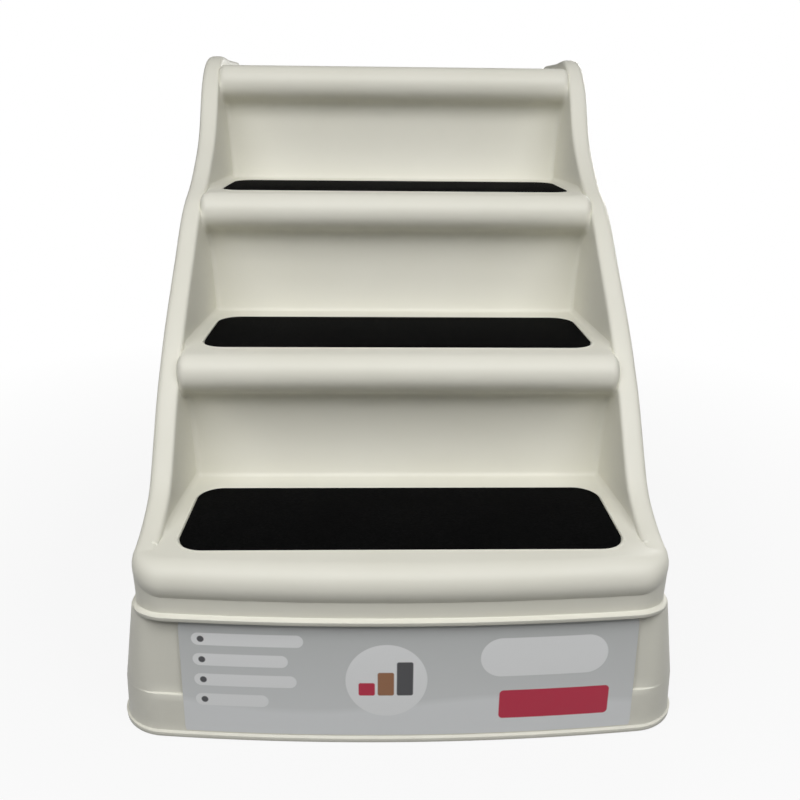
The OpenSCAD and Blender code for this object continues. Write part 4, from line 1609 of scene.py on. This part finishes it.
@dataclass(frozen=True)
class LegForm:
    """Rear leg: a channel with hinge ears, a foot lip and an arch."""

    half_width: float = 192.5 * MM
    wall: float = 3.5 * MM
    corner: float = 16.6 * MM
    back: float = 28.6 * MM
    flange_top: float = 80 * MM
    flange_foot: float = 104 * MM
    spare: float = 6 * MM
    panel_drop: float = 40 * MM
    neck: float = 46 * MM
    knuckle: float = 12 * MM
    lip_out: float = 3 * MM
    lip_top: float = 6.5 * MM
    lip_round: Pair = (0.6 * MM, 2 * MM)
    under: float = 4 * MM
    levels_mm: tuple = (0.5, 1.2, 2.5, 5)
    over: float = 9 * MM
    low: float = 1.5 * MM
    arch_width: float = 220 * MM
    arch_height: float = 70 * MM
    rib_shares: Pair = (0.34, 0.62)
    field_side: float = 34 * MM
    field_top: float = 26 * MM
    field_foot: float = 325 * MM
    field_edge: float = 5 * MM
    field_depth: float = 1.2 * MM
    swages: tuple = (125 * MM, 195 * MM, 265 * MM)
    swage: Pair = (9 * MM, 5 * MM)
    swage_end: Pair = (14 * MM, 26 * MM)
    swage_share: float = 1.6
    trim: tuple = ((-0.3, 0.4, -0.1), (0.3, 0.8))
    arch_y: float = 0.62
    arch_depth: float = 0.3

    def relief(self, x: float, z: float) -> float:
        """How far the moulded field sinks into the back panel.

        Args:
            x: Place across.
            z: Height below the hinge, counted negative.

        Returns:
            Depth below the panel's face.
        """
        inside = min(self.half_width - self.field_side - abs(x),
                     -self.panel_drop - self.field_top - z, z + self.field_foot)
        rise = max(ease(*self.swage, abs(z + drop)) for drop in self.swages)
        rise *= ease(*self.swage_end, inside)
        return self.field_depth * (ease(0, self.field_edge, inside) - self.swage_share * rise)

    def plan(self) -> list[tuple[float, float, float, float]]:
        """Channel seen from above, each point with its outward direction."""
        side, corner, panel = 10, 8, 30
        x, y = self.half_width - self.corner, self.back - self.corner
        start = self.back - (self.flange_foot + self.spare)
        plan = [(self.half_width, mix(start, y, k / side), 1.0, 0.0) for k in range(side)]
        for k in range(corner):
            a = pi / 2 * k / corner
            c, s = cos(a), sin(a)
            plan.append((x + self.corner * c, y + self.corner * s, c, s))
        plan += [(x * (1 - k / panel), self.back, 0.0, 1.0) for k in range(panel + 1)]
        return plan + [(-x, y, -nx, ny) for x, y, nx, ny in plan[::-1] if x > 1e-9]

    def channel(self) -> Obj:
        """Walls of the channel, hung from the origin as from its hinge."""
        plan = self.plan()
        bottom = -FIT.leg_axis[1] - self.under
        levels = [bottom + (self.lip_top - self.low + self.under) * k / 4 for k in range(5)]
        lip_end = levels[-1]
        levels += [lip_end + d * MM for d in self.levels_mm]
        start, (before, after) = levels[-1], self.lip_round
        levels += [mix(start, self.knuckle + MM, k / 90) for k in range(1, 91)]

        def ring(z: float) -> list[Vector]:
            """Closed section of the channel at a level."""
            lip = self.lip_out * (1 - ease(lip_end - before, lip_end + after, z))
            outer = [(x, y, nx, ny, lip - (self.relief(x, z) if ny > 0.999 else 0.0))
                     for x, y, nx, ny in plan]
            inner = [(*point, -self.wall) for point in plan[::-1]]
            return [Vector((x + out * nx, y + out * ny, z)) for x, y, nx, ny, out in outer + inner]

        return Bench.sweep("rear_leg_visual", [ring(z) for z in levels], closed=False)

    def side_outline(self, height: float) -> list[Pair]:
        """Side view of the leg about its hinge.

        Args:
            height: Length of the leg below its hinge.

        Returns:
            Points of the closed outline.
        """
        back, deep, edge = self.back, self.back - self.flange_foot, self.back - self.flange_top
        over, below, r = self.over, -height - 30 * MM, self.knuckle
        points = [(edge, -self.neck), (deep + 6 * MM, -height + 70 * MM), (deep, -height),
                  (deep, below), (back + over, below), (back + over, -height / 2),
                  (back + MM, -self.panel_drop - 6 * MM)]
        round_end = arc((0, 0), r, 20, 160, 16)
        top = smooth_path([(back + MM, -self.panel_drop),
                           (back - 8 * MM, -self.panel_drop + 14 * MM),
                           (r + 2 * MM, -9 * MM), round_end[0]], 4)
        neck = smooth_path([round_end[-1], (-r - 4 * MM, -10 * MM), (-30 * MM, -34 * MM),
                            (edge, -self.neck)], 4)
        return points + top[:-1] + round_end + neck[1:-1]

    def build(self) -> Obj:
        """The leg, trimmed, arched, ribbed and tilted."""
        y, z = FIT.leg_axis
        obj = self.channel()
        outline = self.side_outline(z / cos(SIZES.leg_tilt))
        half = self.half_width + self.over
        shape = Bench.prism("leg_outline", [(a - FRONT_Y, b) for a, b in outline], (-half, half))
        Bench.combine(obj, shape, "INTERSECT")
        reach = self.half_width - self.corner + 5 * MM
        for share in self.rib_shares:
            rib = Bench.block(
                "leg_rib", (-reach, self.back - self.wall - 12 * MM - FRONT_Y, -share * z),
                (reach, self.back - 2 * MM - FRONT_Y, -share * z + 3 * MM))
            Bench.combine(obj, rib, "UNION")
        obj.data.transform(Matrix.Translation((0, FRONT_Y + y, z))
                           @ Matrix.Rotation(SIZES.leg_tilt, 4, "X"))
        low, high = self.trim
        Bench.combine(obj, Bench.block("leg_floor", low, (*high, self.low)))
        radius = (self.arch_width**2 / 4 + self.arch_height**2) / (2 * self.arch_height)
        arch = Bench.add("leg_arch", bpy.ops.mesh.primitive_cylinder_add,
                         vertices=160, radius=radius, depth=self.arch_depth)
        place = Matrix.Translation((0, FRONT_Y + self.arch_y, self.arch_height - radius))
        arch.data.transform(place @ Matrix.Rotation(pi / 2, 4, "X"))
        Bench.combine(obj, arch)
        x = (self.half_width - 3 * self.wall, self.half_width + 2 * self.wall)
        Bench.bore(obj, FIT.leg_axis, FIT.pin_bore, x)
        Bench.bore(obj, FIT.rear_lock, FIT.stud_bore, x)
        return Bench.smooth(obj, 30)


@dataclass(frozen=True)
class StairShell:
    """The stairs' moulding with its lugs, ribs, mats and recesses."""

    palette: Palette
    form: ShellForm = ShellForm()
    mats: MatForm = MatForm()
    rib_half: float = 1.2 * MM
    rib_drops: Pair = (9 * MM, 4.5 * MM)

    def moulding(self) -> Obj:
        """Rim with its button bores, and the treads with their recesses."""
        sheet = self.form.tread_sheet()
        for step in range(SIZES.steps):
            Bench.combine(sheet, self.mats.recess_cutter(step))
        rim = self.form.rim()
        for radius, end in ((FIT.button_chamber, FIT.stack - FIT.button_lip),
                            (FIT.button_bore, FIT.stack + 3 * MM)):
            Bench.bore(rim, FIT.rear_lock, radius, FIT.rear(FIT.stack - SIZES.wall - MM, end))
        return Bench.join("stair_shell_visual", [rim, sheet])

    def ribs(self) -> list[Obj]:
        """Ribs under the treads and behind the risers."""
        parts = []
        for step in range(SIZES.steps):
            low = SIZES.nose(step) + SIZES.nose_radius + SIZES.wall
            high = SIZES.nose(step + 1) + SIZES.riser_depth / 2
            if step == SIZES.steps - 1:
                high = SIZES.shell_back - SIZES.rail_width
            under = SIZES.tread(step) - SIZES.wall
            top, (front, back) = under + SIZES.wall / 2, self.rib_drops
            outline = [(low, under - front), (low, top), (high, top), (high, under - back)]
            for x in (-SIZES.half_width / 2, 0, SIZES.half_width / 2):
                parts.append(Bench.prism("tread_rib", outline,
                                         (x - self.rib_half, x + self.rib_half)))
        return parts

    def build(self) -> None:
        """Makes and dresses the shell and the mats."""
        right = FIT.lugs()
        left = [Bench.twin(part) for part in right]
        steps = range(SIZES.steps)
        ridges = [self.mats.rim(step) for step in steps]
        shell = Bench.join("stair_shell_visual",
                           [self.moulding()] + self.ribs() + right + left + ridges)
        self.palette.dress(Bench.smooth(shell, 30), Finish.CREAM, Body.SHELL, ["stair_shell"])
        for step in steps:
            self.palette.dress(self.mats.mat(step), Finish.MAT, Body.SHELL,
                               ["tread_mat_%d" % (step + 1)])


@dataclass(frozen=True)
class Supports:
    """Front base with its card, and the rear leg."""

    palette: Palette
    base: BaseForm = BaseForm()
    card: CardForm = CardForm()
    leg: LegForm = LegForm()

    def build(self) -> None:
        """Makes and dresses the base, the card and the leg."""
        dress = self.palette.dress
        dress(self.base.build(), Finish.CREAM, Body.BASE, ["front_base"])
        dress(self.card.build(self.base), Finish.CARD, Body.BASE, ["front_card"])
        dress(self.leg.build(), Finish.CREAM, Body.LEG, ["rear_leg"])


@dataclass(frozen=True)
class Hardware:
    """Pins, washers, buttons, guides, springs, rivets and feet."""

    palette: Palette
    finishes: tuple = (
        ("pin_", Finish.PIN), ("rivets", Finish.RIVET), ("spring", Finish.SPRING),
        ("guides", Finish.NYLON), ("washers", Finish.NYLON), ("button", Finish.BUTTON),
        ("pads", Finish.RUBBER),
    )

    def build(self) -> None:
        """Dresses the small nodes of the frame by the words in their names."""
        for name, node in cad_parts.items():
            if not node.hide_render:
                slot = next(finish for word, finish in self.finishes if word in name)
                self.palette.dress(node, slot)
                Bench.smooth(node, 35)


@dataclass(frozen=True)
class Lamp:
    """Soft rectangular lamp: where it hangs, what it lights and its watts."""

    name: str
    place: Point
    aim: Point
    size: Pair
    power: float

    def build(self) -> None:
        """Hangs the lamp."""
        data = bpy.data.lights.new(self.name, "AREA")
        data.shape = "RECTANGLE"
        data.size, data.size_y = self.size
        data.energy = self.power
        obj = bpy.data.objects.new(self.name, data)
        obj.location = self.place
        obj.rotation_mode = "QUATERNION"
        ahead = Vector(self.aim) - Vector(self.place)
        obj.rotation_quaternion = ahead.to_track_quat("-Z", "Y")
        bpy.context.scene.collection.objects.link(obj)


@dataclass(frozen=True)
class Studio:
    """Pale floor, soft lamps and the camera."""

    focal_px: float = 824.4
    picture_px: float = 800.0
    sensor: float = 36.0
    principal: Pair = (399.5, 460.0)
    place: Point = (-18.62 * MM, -498.2 * MM, 459 * MM)
    yaw: float = 0.0291
    pitch: float = 0.4124
    roll: float = 0.0106
    world: float = 0.13
    floor_shade: tuple = (0.1, 0.1, 0.1, 1)
    floor_seen: tuple = (0.5, 0.5, 0.5, 1)
    floor_glow: float = 0.90
    glow_span: Pair = (0.35, 0.95)
    lamps: tuple = (
        Lamp("top_lamp", (0.0, -0.90, 1.20), (0.0, -0.05, 0.2), (2.3, 0.85), 19.5),
        Lamp("back_lamp", (1.1, 2.0, 0.7), (0.0, 0.2, 0.25), (1.2, 1.0), 27.0),
        Lamp("front_lamp", (-0.4, -1.9, 1.0), (0.0, 0.0, 0.2), (1.6, 1.0), 0.1),
    )

    def camera(self) -> None:
        """Sets the camera at the photograph's place."""
        data = bpy.data.cameras.new("camera")
        data.sensor_width = self.sensor
        data.lens = self.focal_px / self.picture_px * self.sensor
        data.shift_x = (self.picture_px / 2 - self.principal[0]) / self.picture_px
        data.shift_y = (self.principal[1] - self.picture_px / 2) / self.picture_px
        data.clip_start, data.clip_end = 0.01, 50
        level = cos(self.pitch)
        ahead = Vector((sin(self.yaw) * level, cos(self.yaw) * level,
                        -sin(self.pitch)))
        right = Vector((cos(self.yaw), -sin(self.yaw), 0))
        up = right.cross(ahead)
        c, s = cos(self.roll), sin(self.roll)
        axes = (c * right + s * up, c * up - s * right, -ahead)
        place = Vector(self.place) + Vector((0, FRONT_Y, 0))
        obj = bpy.data.objects.new("camera", data)
        rows = [[*(axis[row] for axis in axes), place[row]] for row in range(3)]
        obj.matrix_world = Matrix(rows + [[0, 0, 0, 1]])
        bpy.context.scene.collection.objects.link(obj)
        bpy.context.scene.camera = obj

    def floor(self) -> None:
        """Lays a pale floor that keeps the object's shadow."""
        obj = Bench.add("studio_floor", bpy.ops.mesh.primitive_plane_add, size=24)
        n = Nodes("studio_floor")
        glow = n.add("Emission", {"Color": (1, 1, 1, 1), "Strength": 1.0})
        seen = n.add("LightPath")
        straight = n.math("MAXIMUM", seen.outputs["Is Camera Ray"],
                          seen.outputs["Is Glossy Ray"])
        n.set(Base_Color=n.blend(straight, self.floor_shade, self.floor_seen), Roughness=0.9,
              Specular_IOR_Level=0.0)
        away = n.add("VectorMath", {0: n.place}, operation="LENGTH").outputs["Value"]
        share = n.math("MULTIPLY", straight, n.span(away, *self.glow_span, self.floor_glow))
        blend = n.add("MixShader", {0: share, 1: n.shader.outputs[0], 2: glow.outputs[0]})
        n.feed(n.output.inputs[0], blend.outputs[0])
        obj.data.materials.append(n.material)

    def sky(self) -> None:
        """Sets an even world, white where the camera sees it."""
        world = bpy.data.worlds.new("studio")
        world.use_nodes = True
        tree = world.node_tree
        tree.nodes.clear()
        output, blend, path = (tree.nodes.new("ShaderNode" + kind)
                               for kind in ("OutputWorld", "MixShader", "LightPath"))
        tree.links.new(path.outputs["Is Camera Ray"], blend.inputs[0])
        for index, strength in ((1, self.world), (2, 1.0)):
            light = tree.nodes.new("ShaderNodeBackground")
            light.inputs["Color"].default_value = (1, 1, 1, 1)
            light.inputs["Strength"].default_value = strength
            tree.links.new(light.outputs[0], blend.inputs[index])
        tree.links.new(blend.outputs[0], output.inputs[0])
        bpy.context.scene.world = world

    def build(self) -> None:
        """Sets camera, floor, world and lamps."""
        self.camera()
        self.floor()
        self.sky()
        for lamp in self.lamps:
            lamp.build()
        bpy.context.scene.view_settings.view_transform = "Standard"


def main() -> None:
    """Builds the studio, the stairs and their fittings in order."""
    logging.basicConfig(level=logging.INFO, format="%(message)s")
    palette = Palette()
    Studio().build()
    StairShell(palette).build()
    Supports(palette).build()
    Hardware(palette).build()


if __name__ == "__main__":
    main()
